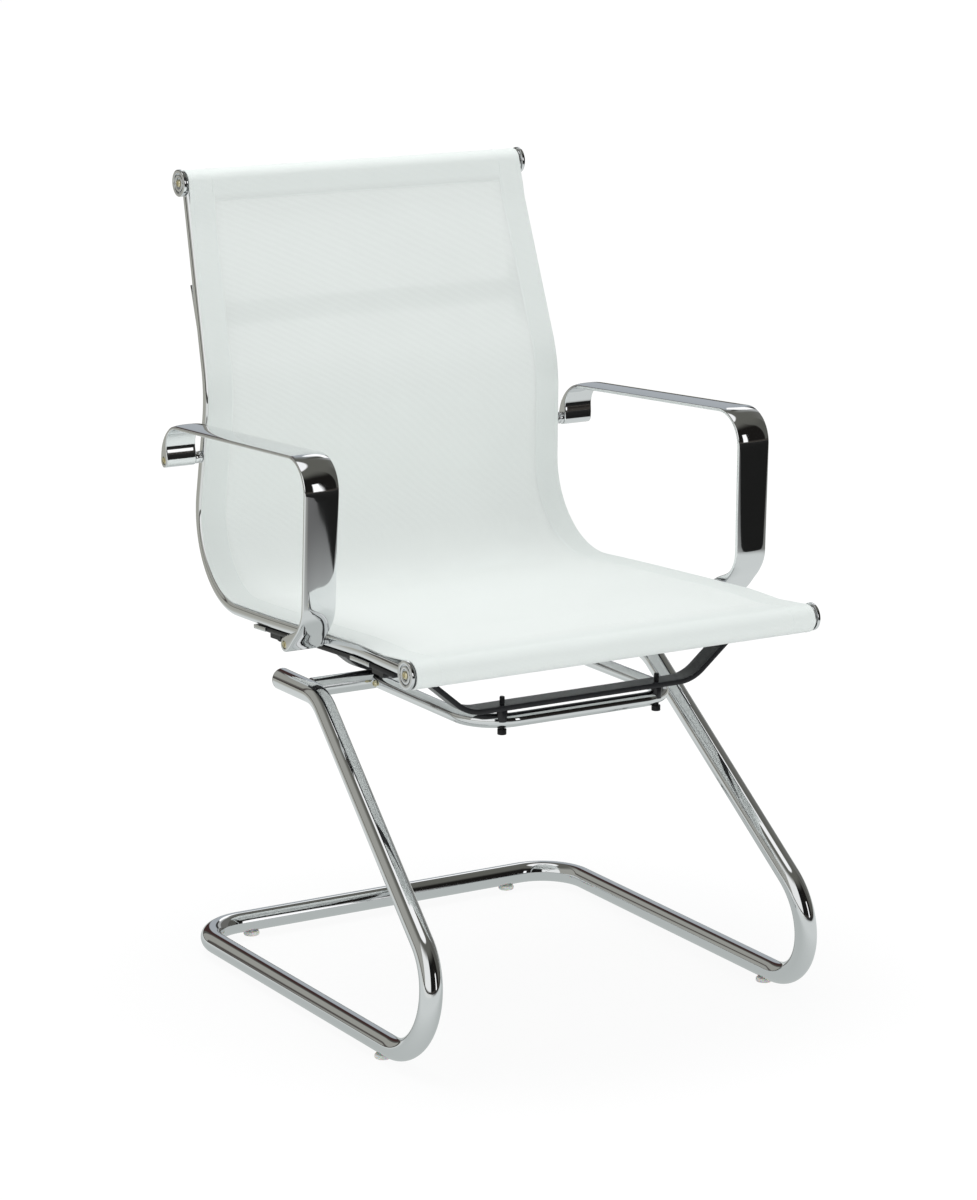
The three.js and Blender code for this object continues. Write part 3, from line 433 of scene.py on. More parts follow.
def grown(host, tree, **values):
    """Runs a tree on a host object, which keeps the result as its plain mesh."""
    modifier = host.modifiers.new(tree.name, "NODES")
    modifier.node_group = tree
    for item in tree.interface.items_tree:
        if item.in_out == "INPUT" and item.name in values:
            modifier[item.identifier] = values[item.name]
    return settled(host)


tube_tree, given = new_tree("Tube along a path", Radius="Float", Sides="Int", Finish="Material")
to_curve = add_node(tube_tree, "GeometryNodeMeshToCurve", {"Mesh": given["Geometry"]})
circle = add_node(tube_tree, "GeometryNodeCurvePrimitiveCircle", {
    "Radius": given["Radius"], "Resolution": given["Sides"],
})
sweep = add_node(tube_tree, "GeometryNodeCurveToMesh", {
    "Curve": to_curve["Curve"], "Profile Curve": circle["Curve"], "Fill Caps": True,
})
close_tree(tube_tree, sweep["Mesh"], given["Finish"])


def path_object(name, points):
    links = [(i, i + 1) for i in range(len(points) - 1)]
    mesh = bpy.data.meshes.new(name)
    mesh.from_pydata([to_frame(point) for point in points], links, [])
    return new_object(name, mesh)


def chrome_tube(name, stations, diameter, node, sides=48):
    host = path_object(name, [station[0] for station in stations])
    grown(host, tube_tree, Radius=diameter / 2 * mm, Sides=sides, Finish=chrome)
    return finished(cleaned(host), "chrome", node)


# %% [markdown]
# ## The sled tube
#
# One 25 mm tube makes the whole base: it starts as a short stub under the seat, leans
# forward and down as a leg, runs back along the floor, crosses behind and returns the same
# way on the other side. Six bends, and the mirror half comes from changing the sign of X.

# %% Sled tube
sled_tube = 25
stub = (216, 75.5, 354)
sled_corners = [stub, (216, -13.7, 354), (248, -432.7, 18), (251.3, 239.3, 18)]
sled_radii = [55, 72, 58]
sled_line = mirrored_line(sled_corners, sled_radii, radians(2))
chrome_tube("sled_tube", sled_line, sled_tube, "sled_frame", 56)

# %% [markdown]
# ## Cross tube, support loop and the tubes in the hems
#
# A 22 mm tube joins the two stubs, and a U-shaped loop of 16 mm tube comes forward from it
# to carry the seat. The net's two ends are wrapped round 25 mm tubes. All four follow a
# line, so the same tree makes them. Their ends run into what they are fixed to.

# %% More tubes
def straight_tube(name, half, y, z, diameter, node):
    return chrome_tube(name, stations_along([(-half, y, z), (half, y, z)], []), diameter, node)


cross_tube = 22
cross_tube_y = 24.3
into_stub = 2
loop_z = 354
cross_half = stub[0] - sled_tube / 2 + into_stub
straight_tube("cross_tube", cross_half, cross_tube_y, loop_z, cross_tube, "upper_cross_tube")

loop_half = 127.5
loop_front = -209
loop_tube = 16
loop_corners = [(loop_half, cross_tube_y, loop_z), (loop_half, loop_front, loop_z)]
chrome_tube("loop_tube", mirrored_line(loop_corners, [47], radians(3)), loop_tube, "support_loop")

hem_tube = 25
front_tube_y = -278.7
front_tube_z = 441
straight_tube("top_tube_bar", 221.2, top_tube_y, top_tube_z, hem_tube, "top_tube")
straight_tube("front_tube_bar", 253, front_tube_y, front_tube_z, hem_tube, "front_tube")

# %% [markdown]
# ## The line of the rails
#
# Seen from the side, rails and net follow one line: down the back with a soft bend at the
# lumbar, round the corner of the seat and forward to the front tube. The chair is a little
# narrower at the top, so a second rule gives the outer face's distance from the middle.

# %% Rail line
rail_depth = 14
rail_width = 25
seat_half = 253
back_taper = 32.5
taper_length = 600
taper_ease = 50
lumbar = (0, 221.3, 655)
thigh = (0, -167.7, 442.4)
rail_corners = [
    (0, top_tube_y, top_tube_z), lumbar, (0, 245.3, 420.8), thigh, (0, front_tube_y, front_tube_z),
]
rail_line = stations_along(rail_corners, [150, 103, 400])
rail_length = rail_line[-1][2]


def outer_half(distance):
    """From the middle of the chair to the rail's outer face."""
    slope = back_taper / taper_length
    left = taper_length - distance
    if left > taper_ease:
        return seat_half - slope * left
    if left < -taper_ease:
        return seat_half
    return seat_half - slope * (left + taper_ease) ** 2 / (4 * taper_ease)


def sitter_side(direction):
    """Square to a line in side view, towards the sitter (on an arm, outwards)."""
    return Vector((0, direction.z, -direction.y))


print("rail:", round(rail_length), "mm long")

# %% [markdown]
# ## Side rails
#
# A rail is a flat bar with well rounded edges. Its section is drawn once for a width and a
# thickness, then repeated at each station as a ring of the skin. The same section, with a
# crown on its outer face, will make the arms.

# %% Rails
def flat_section(from_x, to_x, low, high, radius, crown=0.0, arc=5, side=8):
    """Points round a flat bar's section: across the chair, and off its centreline."""
    nearly_half = 0.49
    radius = min(radius, nearly_half * (high - low), nearly_half * (to_x - from_x))
    centres = [(to_x - radius, high - radius), (from_x + radius, high - radius),
               (from_x + radius, low + radius), (to_x - radius, low + radius)]
    points = []
    for quarter, (x, off) in enumerate(centres):
        for i in range(arc + 1):
            angle = (quarter + i / arc) * pi / 2
            points.append((x + radius * cos(angle), off + radius * sin(angle)))
        if quarter % 2 == 0:
            run = to_x - from_x - 2 * radius
            way = -1 if quarter == 0 else 1
            points.extend((x + way * run * i / side, points[-1][1]) for i in range(1, side))
    middle, half = (from_x + to_x) / 2, (to_x - from_x) / 2
    return [(x, off - crown * abs((x - middle) / half) ** 3 if off > (low + high) / 2 else off)
            for x, off in points]


def ring_at(station, section, sign=1):
    point, direction, _ = station
    square = sitter_side(direction)
    return [(sign * x, point.y + off * square.y, point.z + off * square.z) for x, off in section]


rail_edge = 5.0
for side, sign in left_and_right:
    rings = []
    for station in rail_line:
        outer = outer_half(station[2])
        section = flat_section(outer - rail_width, outer, -rail_depth / 2, rail_depth / 2, rail_edge)
        rings.append(ring_at(station, section, sign))
    finished(skin("rail_" + side, rings, chrome), "chrome", "side_rail_" + side)

# %% [markdown]
# ## Arms
#
# Each arm is one flat bar bent in a C and polished like a mirror. Its outer face is slightly
# crowned, which squeezes the reflections together, and towards each end it swells into a
# round boss for the screw. Near a boss the half thickness follows a soft curve into the
# circle of the boss, so the skin has no crease. A Boolean cuts the screw's recess.

# %% Arm line and section
arm_thickness = 5.2
arm_boss = 16
flare_length = 42
flare_power = 1.3
thinnest_end = 0.1
arm_rear_boss = (0, 228.55, 584.5)
arm_lower_boss = (0, -87.7, 438.3)
arm_corners = [
    arm_rear_boss, (0, 225.4, 626), (0, -136, 647), (0, -128.3, 464.6), arm_lower_boss,
]
arm_line = stations_along(arm_corners, [34, 37, 40], radians(2.5), 6)
arm_length = arm_line[-1][2]
arm_rear_edges = (246.8, 284.0)
arm_front_edges = (254.5, 296.5)
arm_lower_edges = (259.1, 298.6)
corner_walk = station_near(arm_line, Vector(arm_corners[2]))[2]


def arm_half_thickness(walked):
    from_end = min(walked, arm_length - walked)
    boss = arm_boss / 2
    if from_end <= 0:
        return sqrt(max(boss ** 2 - from_end ** 2, thinnest_end ** 2))
    left = max(0, 1 - from_end / flare_length) ** flare_power
    return arm_thickness / 2 + (boss - arm_thickness / 2) * left * left * (3 - 2 * left)


def arm_edges(walked):
    """The inner and outer edge, which go straight from each end to the front corner."""
    if walked < corner_walk:
        ends, share = arm_rear_edges, walked / corner_walk
    else:
        ends, share = arm_lower_edges, (arm_length - walked) / (arm_length - corner_walk)
    share = min(1, max(0, share))
    return [end + (corner - end) * share for end, corner in zip(ends, arm_front_edges)]


def past_end(station, sign):
    """Stations that round off the boss beyond an end of the line."""
    point, direction, walked = station
    steps = 10
    reaches = [arm_boss / 2 * sin(pi / 2 * i / steps) for i in range(1, steps + 1)]
    return [(point + direction * sign * reach, direction, walked + sign * reach) for reach in reaches]


arm_stations = past_end(arm_line[0], -1)[::-1] + arm_line + past_end(arm_line[-1], 1)
print("arm:", round(arm_length), "mm along its line")

# %% Arms
arm_edge = 1.3
edge_limit = 0.8  # of half the thickness
arm_crown = 1.8
recess_radius = 5
recess_depth = 3


def recess_tool(x, boss):
    """A rod across the chair that reaches as far into an arm's boss as out of it."""
    outline = [
        (0, -recess_depth), (recess_radius, -recess_depth), (recess_radius, recess_depth), (0, recess_depth),
    ]
    rod = turned_piece("recess_tool", outline, chrome, 40, 0)
    turn = Matrix.Rotation(pi / 2, 4, "Y")
    rod.data.transform(Matrix.Translation(to_frame((x, boss[1], boss[2]))) @ turn)
    return rod


def without(piece, tools):
    """Cuts closed tools out of a piece and deletes them."""
    for tool in tools:
        modifier = piece.modifiers.new("cut", "BOOLEAN")
        modifier.object = tool
        modifier.operation = "DIFFERENCE"
        modifier.solver = "EXACT"
    settled(piece)
    for tool in tools:
        bpy.data.objects.remove(tool)
    return cleaned(piece)


for side, sign in left_and_right:
    rings = []
    for station in arm_stations:
        walked = station[2]
        half = arm_half_thickness(walked)
        inner, outer = arm_edges(walked)
        off_boss = min(1, max(0, min(walked, arm_length - walked) / flare_length))
        edge = min(arm_edge, edge_limit * half)
        section = flat_section(inner, outer, -half, half, edge, arm_crown * off_boss ** 2, 6, 12)
        rings.append(ring_at(station, section, sign))
    arm = skin("arm_bar_" + side, rings, chrome)
    bosses = [(arm_rear_edges[1], arm_rear_boss), (arm_lower_edges[1], arm_lower_boss)]
    tools = [recess_tool(sign * x, boss) for x, boss in bosses]
    finished(without(arm, tools), "chrome", "arm_" + side)

# %% [markdown]
# ## The net
#
# The net runs from behind the top tube, over it, down the front of the rails, along the
# seat, over the front tube and under it, where its sleeve hangs a little loose. Its line is
# the rail's line moved towards the sitter, with an arc round each tube and a straight run
# that touches it. The skin's rings go round the cloth's section: the sitter's side one way
# and the other side back. The cloth is thicker in the hems, where it is double.

# %% The net's line
net_thickness = 1.6
single_thickness = 1.0
net_gap = 0.3
net_off_rail = rail_depth / 2 + net_gap + net_thickness / 2
wrap_radius = hem_tube / 2 + net_gap + net_thickness / 2
front_slack = 1.0
net_ramp = 46  # from each end of the rails to where the net lies on them
open_angle = radians(50)
longest_step = 8


def angle_from(centre, point):
    return atan2(point.z - centre.z, point.y - centre.y)


def arc_stations(centre, radius, from_angle, to_angle, step=radians(5)):
    steps = ceil(abs(to_angle - from_angle) / step)
    way = 1 if to_angle > from_angle else -1
    for i in range(steps + 1):
        angle = from_angle + (to_angle - from_angle) * i / steps
        spoke = Vector((0, cos(angle), sin(angle)))
        yield centre + spoke * radius, Vector((0, -way * spoke.z, way * spoke.y))


def touching_angle(centre, radius, point, turn):
    """Where on a circle a straight run to a point leaves it."""
    return angle_from(centre, point) + turn * acos(radius / (point - centre).length)


def with_distances(knots):
    stations = [(*knots[0], 0.0)]
    for point, direction in knots[1:]:
        stations.append((point, direction, stations[-1][2] + (point - stations[-1][0]).length))
    return stations


def onward(start, angle):
    """The same angle, but less than a full turn past the start."""
    return start + (angle - start) % (2 * pi)


def straight_between(start, end):
    """Stations inside a straight run."""
    run = end - start
    steps = ceil(run.length / longest_step)
    return [(start + run * i / steps, run.normalized()) for i in range(1, steps)]


top_roll = (Vector((0, top_tube_y, top_tube_z)), wrap_radius)
front_roll = (Vector((0, front_tube_y, front_tube_z - front_slack)), wrap_radius + front_slack)
on_rails = [(point + sitter_side(direction) * net_off_rail, direction)
            for point, direction, walked in rail_line if net_ramp < walked < rail_length - net_ramp]
top_start = angle_from(top_roll[0], Vector(lumbar)) + open_angle
top_end = onward(top_start, touching_angle(*top_roll, on_rails[0][0], -1))
front_start = touching_angle(*front_roll, on_rails[-1][0], 1)
front_end = onward(front_start, angle_from(front_roll[0], Vector(thigh)) - open_angle)
top_arc = list(arc_stations(*top_roll, top_start, top_end))
front_arc = list(arc_stations(*front_roll, front_start, front_end))
net_line = with_distances(
    top_arc
    + straight_between(top_arc[-1][0], on_rails[0][0])
    + on_rails
    + straight_between(on_rails[-1][0], front_arc[0][0])
    + front_arc
)
net_length = net_line[-1][2]
print("net:", round(net_length), "mm along its line")

# %% The net's skin
net_inset = 1.0  # from the rail's outer face
side_hem = 32
hem_step = 0.8
top_hem_z = 868
front_hem = 30
hem_columns = [0, 0.5, 4, 12, 20, 28, side_hem - hem_step, side_hem]
middle_columns = 28
edge_thickness = net_thickness / 4
front_arc_length = sum((after[0] - before[0]).length for before, after in zip(front_arc, front_arc[1:]))
down_the_back = [station for station in net_line if station[0].y < top_tube_y]
top_hem_walk = min(down_the_back, key=lambda station: abs(station[0].z - top_hem_z))[2]
front_hem_walk = net_length - front_arc_length - front_hem


def net_half(point):
    """From the middle of the chair to the net's edge."""
    return outer_half(station_near(rail_line, point)[2]) - net_inset


def how_double(edge_distance, walked):
    """1 in the hems and 0 in single cloth."""
    inside = [side_hem - edge_distance, top_hem_walk - walked, walked - front_hem_walk]
    return min(1, max(0, max(inside) / hem_step))


def net_columns(half):
    outer = [(-half + c, c) for c in hem_columns]
    inner_half = half - side_hem
    middle = [(-inner_half + 2 * inner_half * i / middle_columns) for i in range(1, middle_columns)]
    return outer + [(x, half - abs(x)) for x in middle] + [(-x, c) for x, c in reversed(outer)]


def cloth(name, rings, uvs, doubled, upright):
    """A skin of net with the weave's UV map and the two values that its finish reads."""
    piece = skin(name, rings, net, merge=0)
    weave = piece.data.uv_layers.new(name="weave")
    for loop in piece.data.loops:
        weave.data[loop.index].uv = uvs[loop.vertex_index]
    for label, values in (("doubled", doubled), ("upright", upright)):
        piece.data.attributes.new(label, "FLOAT", "POINT").data.foreach_set("value", values)
    return piece


net_rings, net_uvs, net_double, net_upright = [], [], [], []
for station in net_line:
    upper = []
    for x, edge_distance in net_columns(net_half(station[0])):
        double = how_double(edge_distance, station[2])
        thickness = single_thickness + (net_thickness - single_thickness) * double
        if edge_distance == 0:
            thickness = edge_thickness
        upper.append((x, thickness / 2, double))
    around = upper + [(x, -off, double) for x, off, double in reversed(upper)]
    net_rings.append(ring_at(station, [(x, off) for x, off, _ in around]))
    net_uvs.extend((x * mm, station[2] * mm) for x, _, _ in around)
    net_double.extend(double for _, _, double in around)
    net_upright.extend([abs(station[1].z)] * len(around))

sling = finished(cloth("net_cloth", net_rings, net_uvs, net_double, net_upright), "net", "net_sling")

# %% [markdown]
# ## Hem flaps
#
# Between the rails the cloth goes on round each tube and comes back to its own rear side,
# where it is sewn down. These flaps are what one sees from behind and from below.

# %% Flaps
# The flaps take 0.6 of the hems' darker tone, which is painted shade, and of their smaller gaps.
flap_doubled = 0.6
flap_columns = 40
run_steps = 6
flap_gap = 1


def flap(label, roll, start_angle, end_angle, seam_point, outer):
    """Cloth from an angle on a roll, round it, and on to a seam on the net's rear side."""
    half = outer - rail_width - flap_gap
    arc = list(arc_stations(*roll, start_angle, end_angle))
    run = seam_point - arc[-1][0]
    knots = arc + [(arc[-1][0] + run * i / run_steps, run.normalized()) for i in range(1, run_steps + 1)]
    columns = [(-half + 2 * half * i / flap_columns) for i in range(flap_columns + 1)]
    off = single_thickness / 2
    around = [(x, off) for x in columns] + [(x, -off) for x in reversed(columns)]
    rings, uvs = [], []
    for station in with_distances(knots):
        rings.append(ring_at(station, around))
        uvs.extend((x * mm, -station[2] * mm) for x, _ in around)
    return finished(cloth(label, rings, uvs, [flap_doubled] * len(uvs), [0.0] * len(uvs)), "net")


def rear_side(walked):
    """A point just behind the net at a distance along it."""
    point, direction, _ = station_at(net_line, walked)
    return point - sitter_side(direction) * net_thickness


seam_top = rear_side(top_hem_walk)
seam_front = rear_side(front_hem_walk)
flap_top_end = onward(top_start, touching_angle(*top_roll, seam_top, 1)) - 2 * pi
flap_front_end = onward(front_end, touching_angle(*front_roll, seam_front, -1))
top_flap = flap("net_flap_top", top_roll, top_start, flap_top_end, seam_top, outer_half(0))
front_flap = flap("net_flap_front", front_roll, front_end, flap_front_end, seam_front, seat_half)

# %% [markdown]
# ## Stitches
#
# Two rows of thread hold each side hem and one holds the top hem. A stitch is the same small
# rod hundreds of times, so a tree places it along the seam: it walks the line in steps and
# turns each rod along it.

# %% Stitches
stitch_length = 2.6
stitch_pitch = 3.6
thread_radius = 0.28
off_hem_line = 2.5
off_net_edge = 5

stitch_tree, given = new_tree("Stitches along a seam", Finish="Material")
seam_curve = add_node(stitch_tree, "GeometryNodeMeshToCurve", {"Mesh": given["Geometry"]})
steps_along = add_node(stitch_tree, "GeometryNodeCurveToPoints", {
    "Curve": seam_curve["Curve"], "Length": stitch_pitch * mm,
}, mode="LENGTH")
rod = add_node(stitch_tree, "GeometryNodeMeshCylinder", {
    "Vertices": 6, "Depth": stitch_length * mm, "Radius": thread_radius * mm,
})
on_points = add_node(stitch_tree, "GeometryNodeInstanceOnPoints", {
    "Points": steps_along["Points"], "Rotation": steps_along["Rotation"],
    "Instance": rod["Mesh"],
})
close_tree(stitch_tree, on_points["Instances"], given["Finish"])


def seam(name, points):
    host = path_object(name, points)
    grown(host, stitch_tree, Finish=thread)
    smooth(host.data, 50)
    return finished(host, "net")


def on_net(station, x):
    """A point on the sitter's face of the net."""
    lifted = station[0] + sitter_side(station[1]) * (net_thickness / 2)
    return x, lifted.y, lifted.z


for side, sign in left_and_right:
    for row, inset in (("a", side_hem - off_hem_line), ("b", off_net_edge)):
        points = [on_net(station, sign * (net_half(station[0]) - inset)) for station in net_line]
        seam(f"seam_{side}_{row}", points)
top_station = station_at(net_line, top_hem_walk - off_hem_line)
reach = outer_half(0) - side_hem
seam("seam_top", [on_net(top_station, x) for x in (-reach, 0, reach)])

# %% [markdown]
# ## The cloth
#
# The sling is one piece of net, held stretched by the rails and the two tubes.

# %% [markdown]
# ## Black cross bars
#
# Two flat bars lie across under the seat and turn up at both ends to reach the rails. Each
# is a bent line in front view with a section 24 mm wide and 6 mm thick. The whole bar is
# then tilted about the tube that carries it, because it stands square to the rail above.

# %% Cross bars
bar_width = 24
bar_thickness = 6
bar_edge = 0.9
bar_bend_x = 144.5
bar_rise = radians(40.2)
bar_radii = [12, 50]
front_setback = 5.6  # how far back the front bar lies on its tube
flange_end = 249
plate_thickness = 4.6
washer_thickness = 4
fit_gap = 0.3


def bar_facts(y, tube_half, washer, setback):
    """Where a bar lies over the tube at a place, and how it tilts with the rail above."""
    seat = [station for station in rail_line if station[2] > taper_length / 2]
    low = Vector((0, y, loop_z))
    point, direction, _ = station_near(seat, low)
    return {
        "y": y,
        "tilt": -atan2(direction.z, -direction.y),
        "bolt_seat": loop_z - tube_half - fit_gap,
        "under": loop_z + tube_half + fit_gap + washer,
        "flange_top": loop_z + (point - low).length - rail_depth / 2 - 2 * fit_gap - plate_thickness,
        "setback": setback,
    }


def on_bar_tube(point, facts):
    x, y, z = point
    high = z - loop_z
    c, s = cos(facts["tilt"]), sin(facts["tilt"])
    return x, facts["y"] + y * c - high * s, loop_z + y * s + high * c


bars = {
    "front": bar_facts(loop_front, loop_tube / 2, washer_thickness + fit_gap, front_setback),
    "rear": bar_facts(cross_tube_y, cross_tube / 2, 0, 0),
}
for name, facts in bars.items():
    flange = facts["flange_top"] - bar_thickness
    corner_x = bar_bend_x + (flange - facts["under"]) / tan(bar_rise)
    corners = [(flange_end, 0, flange), (corner_x, 0, flange), (bar_bend_x, 0, facts["under"])]
    back, front = facts["setback"] - bar_width / 2, facts["setback"] + bar_width / 2
    section = flat_section(back, front, 0, bar_thickness, bar_edge, 0, 4, 4)
    rings = []
    for point, direction, _ in mirrored_line(corners, bar_radii, radians(3)):
        square = Vector((direction.z, 0, -direction.x))
        rings.append([
            on_bar_tube((point.x + off * square.x, y, point.z + off * square.z), facts)
            for y, off in section
        ])
    finished(skin(name + "_bar", rings, black_steel), "black_steel", name + "_cross_bar")
    print(name, "bar flange at", round(facts["flange_top"], 1))

# %% [markdown]
# ## Small pieces that stand on mounts
#
# Screws, caps, spacers, bolts and glides come in pairs and fours. Each is turned once, and a
# tree sets copies of it on mount points, turned along the axis that each point carries.

# %% Mount tree
mount_tree, given = new_tree("Set on mounts", Piece="Object", Finish="Material")
axis_of = add_node(
    mount_tree, "GeometryNodeInputNamedAttribute", {"Name": "axis"}, data_type="FLOAT_VECTOR",
)
aligned = add_node(
    mount_tree, "FunctionNodeAlignRotationToVector", {"Vector": axis_of["Attribute"]}, axis="Z",
)
source = add_node(mount_tree, "GeometryNodeObjectInfo", {"Object": given["Piece"]})
copies = add_node(mount_tree, "GeometryNodeInstanceOnPoints", {
    "Points": given["Geometry"], "Instance": source["Geometry"],
    "Rotation": aligned["Rotation"],
})
close_tree(mount_tree, copies["Instances"], given["Finish"])


def set_on_mounts(name, outline, finish, mounts, *stems, sides=36, ease=0.4):
    """Turns an outline and copies it to mounts, which are points in millimetres with the axis
    that its Z follows. Each stem names a node on the left and one on the right."""
    model = turned_piece(name + "_model", outline, finish, sides, ease)
    mesh = bpy.data.meshes.new(name)
    mesh.from_pydata([to_frame(point) for point, _ in mounts], [], [])
    axes = mesh.attributes.new("axis", "FLOAT_VECTOR", "POINT")
    for item, (_, axis) in zip(axes.data, mounts):
        item.vector = axis
    host = grown(new_object(name, mesh), mount_tree, Piece=model, Finish=finish)
    bpy.data.objects.remove(model)
    nodes = [f"{stem}_{side}" for stem in stems for side, _ in left_and_right]
    slot = finish.name.split(".")[0]  # without the number that Blender adds to a name in use
    return finished(cleaned(host), slot, *nodes)


def pair(x, y, z, axis=None):
    """A mount on each side, with one axis for both, or else each with its own outwards."""
    return [((sign * x, y, z), axis or (sign, 0, 0)) for _, sign in left_and_right]


def screw_head(radius, rim, crown, height, socket, depth, foot=0):
    """The outline of a button head that stands on its foot, with a socket in its crown."""
    top = foot + height
    return [
        (0, foot), (radius, foot), (radius, foot + rim), (crown, top), (socket, top),
        (socket, top - depth), (0, top - depth - 0.2),
    ]


# %% [markdown]
# ## End caps and their screws
#
# A cap is turned from brass and chromed: a disc a little wider than the hem, with a ring
# groove in its face and a recess in the middle for a zinc screw. Top and front caps are the
# same part, so one model serves four mounts.

# %% Caps
cap_seat_top = 221.5
cap_seat_front = 253.3
cap_face = 5.0
groove_floor = cap_face - 3.2
ring_floor = cap_face - 3.6
screw_floor = cap_face - 1.6
cap_outline = [
    (0, 0), (13, 0), (13, 1.2), (15.5, 1.2), (15.5, cap_face),
    (11.4, cap_face), (11.4, groove_floor), (9.8, groove_floor), (9.8, cap_face),
    (6.4, cap_face), (6.4, ring_floor), (4.9, ring_floor), (4.9, screw_floor), (0, screw_floor),
]
cap_mounts = pair(cap_seat_top, top_tube_y, top_tube_z) + pair(cap_seat_front, front_tube_y, front_tube_z)
set_on_mounts(
    "end_caps", cap_outline, chrome, cap_mounts, "top_cap", "front_cap", sides=64, ease=0.6,
)
cap_head = screw_head(4.5, 1.2, 3.2, 2.5, 1.9, 1.5, foot=screw_floor)
set_on_mounts("cap_screws", cap_head, zinc, cap_mounts, "top_cap_screw", "front_cap_screw")

# %% [markdown]
# ## Spacers and screws of the arms
#
# Between rail and arm stands a short turned spacer with a groove round its middle. From
# outside a screw goes through the arm's boss, and its head lies sunk in the recess.

# %% Arm fixings
spacer_radius = 7
waist_radius = 5.8
arm_head = screw_head(4.5, 1.2, 3, 2.4, 1.8, 1.5)
for place, (_, y, z), rail_face, gap, outer in (
    ("rear", arm_rear_boss, 237.9, 8.3, arm_rear_edges[1]),
    ("lower", arm_lower_boss, 253.0, 5.5, arm_lower_edges[1]),
):
    low, high = gap / 4, gap / 2  # of the groove
    outline = [
        (0, 0), (spacer_radius, 0), (spacer_radius, low), (waist_radius, low), (waist_radius, high),
        (spacer_radius, high), (spacer_radius, gap), (0, gap),
    ]
    set_on_mounts(
        f"arm_spacers_{place}", outline, chrome, pair(rail_face + fit_gap, y, z),
        f"arm_spacer_{place}", sides=48, ease=0.3,
    )
    set_on_mounts(
        f"arm_screws_{place}", arm_head, zinc, pair(outer - recess_depth + fit_gap, y, z),
        f"arm_screw_{place}", ease=0.3,
    )

# %% [markdown]
# ## Bolts and screws of the black bars
#
# The bars are held by black socket bolts from below. Their threaded ends stand above the
# bar, and the thread is turned as a row of ridges. Flange screws go up into the rails.

# %% Bar fixings
bolt_x = 99
bolt_tail = 9.5
thread_pitch = 1
flange_screw_x = seat_half - rail_width / 2
flange_head = [(0, -2.2), (2.2, -2.2), (2.6, -3.2), (3.6, -3.2), (5.5, -1.6), (5.5, 0), (0, 0)]
for name, facts in bars.items():
    up = Vector(on_bar_tube((0, 0, loop_z + 1), facts)) - Vector(on_bar_tube((0, 0, loop_z), facts))
    ridge = facts["under"] + bar_thickness - facts["bolt_seat"]
    tip = ridge + bolt_tail
    outline = [(0, -3), (2.5, -3), (2.5, -6), (5, -6), (5, 0), (3, 0)]
    while ridge < tip - 1.4:
        outline += [(3, ridge), (2.6, ridge + thread_pitch / 2)]
        ridge += thread_pitch
    outline += [(2.7, tip - 0.4), (2.2, tip), (0, tip)]
    mounts = pair(*on_bar_tube((bolt_x, 0, facts["bolt_seat"]), facts), up)
    set_on_mounts(
        f"{name}_bolts", outline, black_bolt, mounts, f"{name}_bar_bolt", sides=32, ease=0.25,
    )
    screw_seat = facts["flange_top"] - bar_thickness - fit_gap
    mounts = pair(*on_bar_tube((flange_screw_x, facts["setback"], screw_seat), facts), up)
    set_on_mounts(
        f"{name}_flange_screws", flange_head, black_bolt, mounts, f"{name}_flange_screw",
        sides=32, ease=0.3,
    )

# %% Loop screws and brace screws
loop_screw_y = 4.3
loop_mounts = pair(loop_half + loop_tube / 2 + fit_gap, loop_screw_y, loop_z)
loop_head = screw_head(4, 1, 2.7, 2.8, 1.6, 1.2)
set_on_mounts("loop_screws", loop_head, zinc, loop_mounts, "loop_screw")

brace_z = 743
brace_screw_spread = 27
brace_plate = 2.5
back_line = [station for station in rail_line if station[0].y > 0]
brace_walk = min(back_line, key=lambda station: abs(station[0].z - brace_z))[2]
brace_mounts = []
for along in (-brace_screw_spread, brace_screw_spread):
    station = station_at(rail_line, brace_walk + along)
    square = sitter_side(station[1])
    back = station[0] - square * (rail_depth / 2 + brace_plate + 2 * fit_gap)
    brace_mounts += pair(outer_half(station[2]) - rail_width / 2, back.y, back.z, -square)
brace_head = screw_head(4.5, 1, 3, 3, 1.8, 1.4)
set_on_mounts(
    "brace_screws", brace_head, zinc, brace_mounts, "brace_screw_upper", "brace_screw_lower",
)

# %% Glides and stub plugs
glide_outline = [
    (0, 0), (7.2, 0), (8.7, 0.5), (9.5, 1.6), (9.5, 3.6), (8.6, 5), (6, 5.2), (3, 5.2), (3, 7), (0, 7),
]
glide_mounts = pair(176, 239.3, 0, (0, 0, 1)) + pair(249.09, -211, 0, (0, 0, 1))
set_on_mounts(
    "glides", glide_outline, nylon, glide_mounts, "glide_rear", "glide_front", sides=40, ease=0.5,
)
plug_outline = [(0, 0), (12.5, 0), (12.5, 0.6), (10.5, 1.4), (6, 1.8), (0, 1.9)]
plug_mounts = pair(stub[0], stub[1] + fit_gap, stub[2], (0, 1, 0))
set_on_mounts(
    "stub_plugs", plug_outline, black_plastic, plug_mounts, "stub_plug", sides=48, ease=0.6,
)

# %% [markdown]
# ## Plates, clips, washers and brace
#
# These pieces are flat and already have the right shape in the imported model. A copy of each
# mesh is merged, its flat faces are cleaned, and a small bevel breaks its edges, because a
# perfectly sharp edge never catches the light.

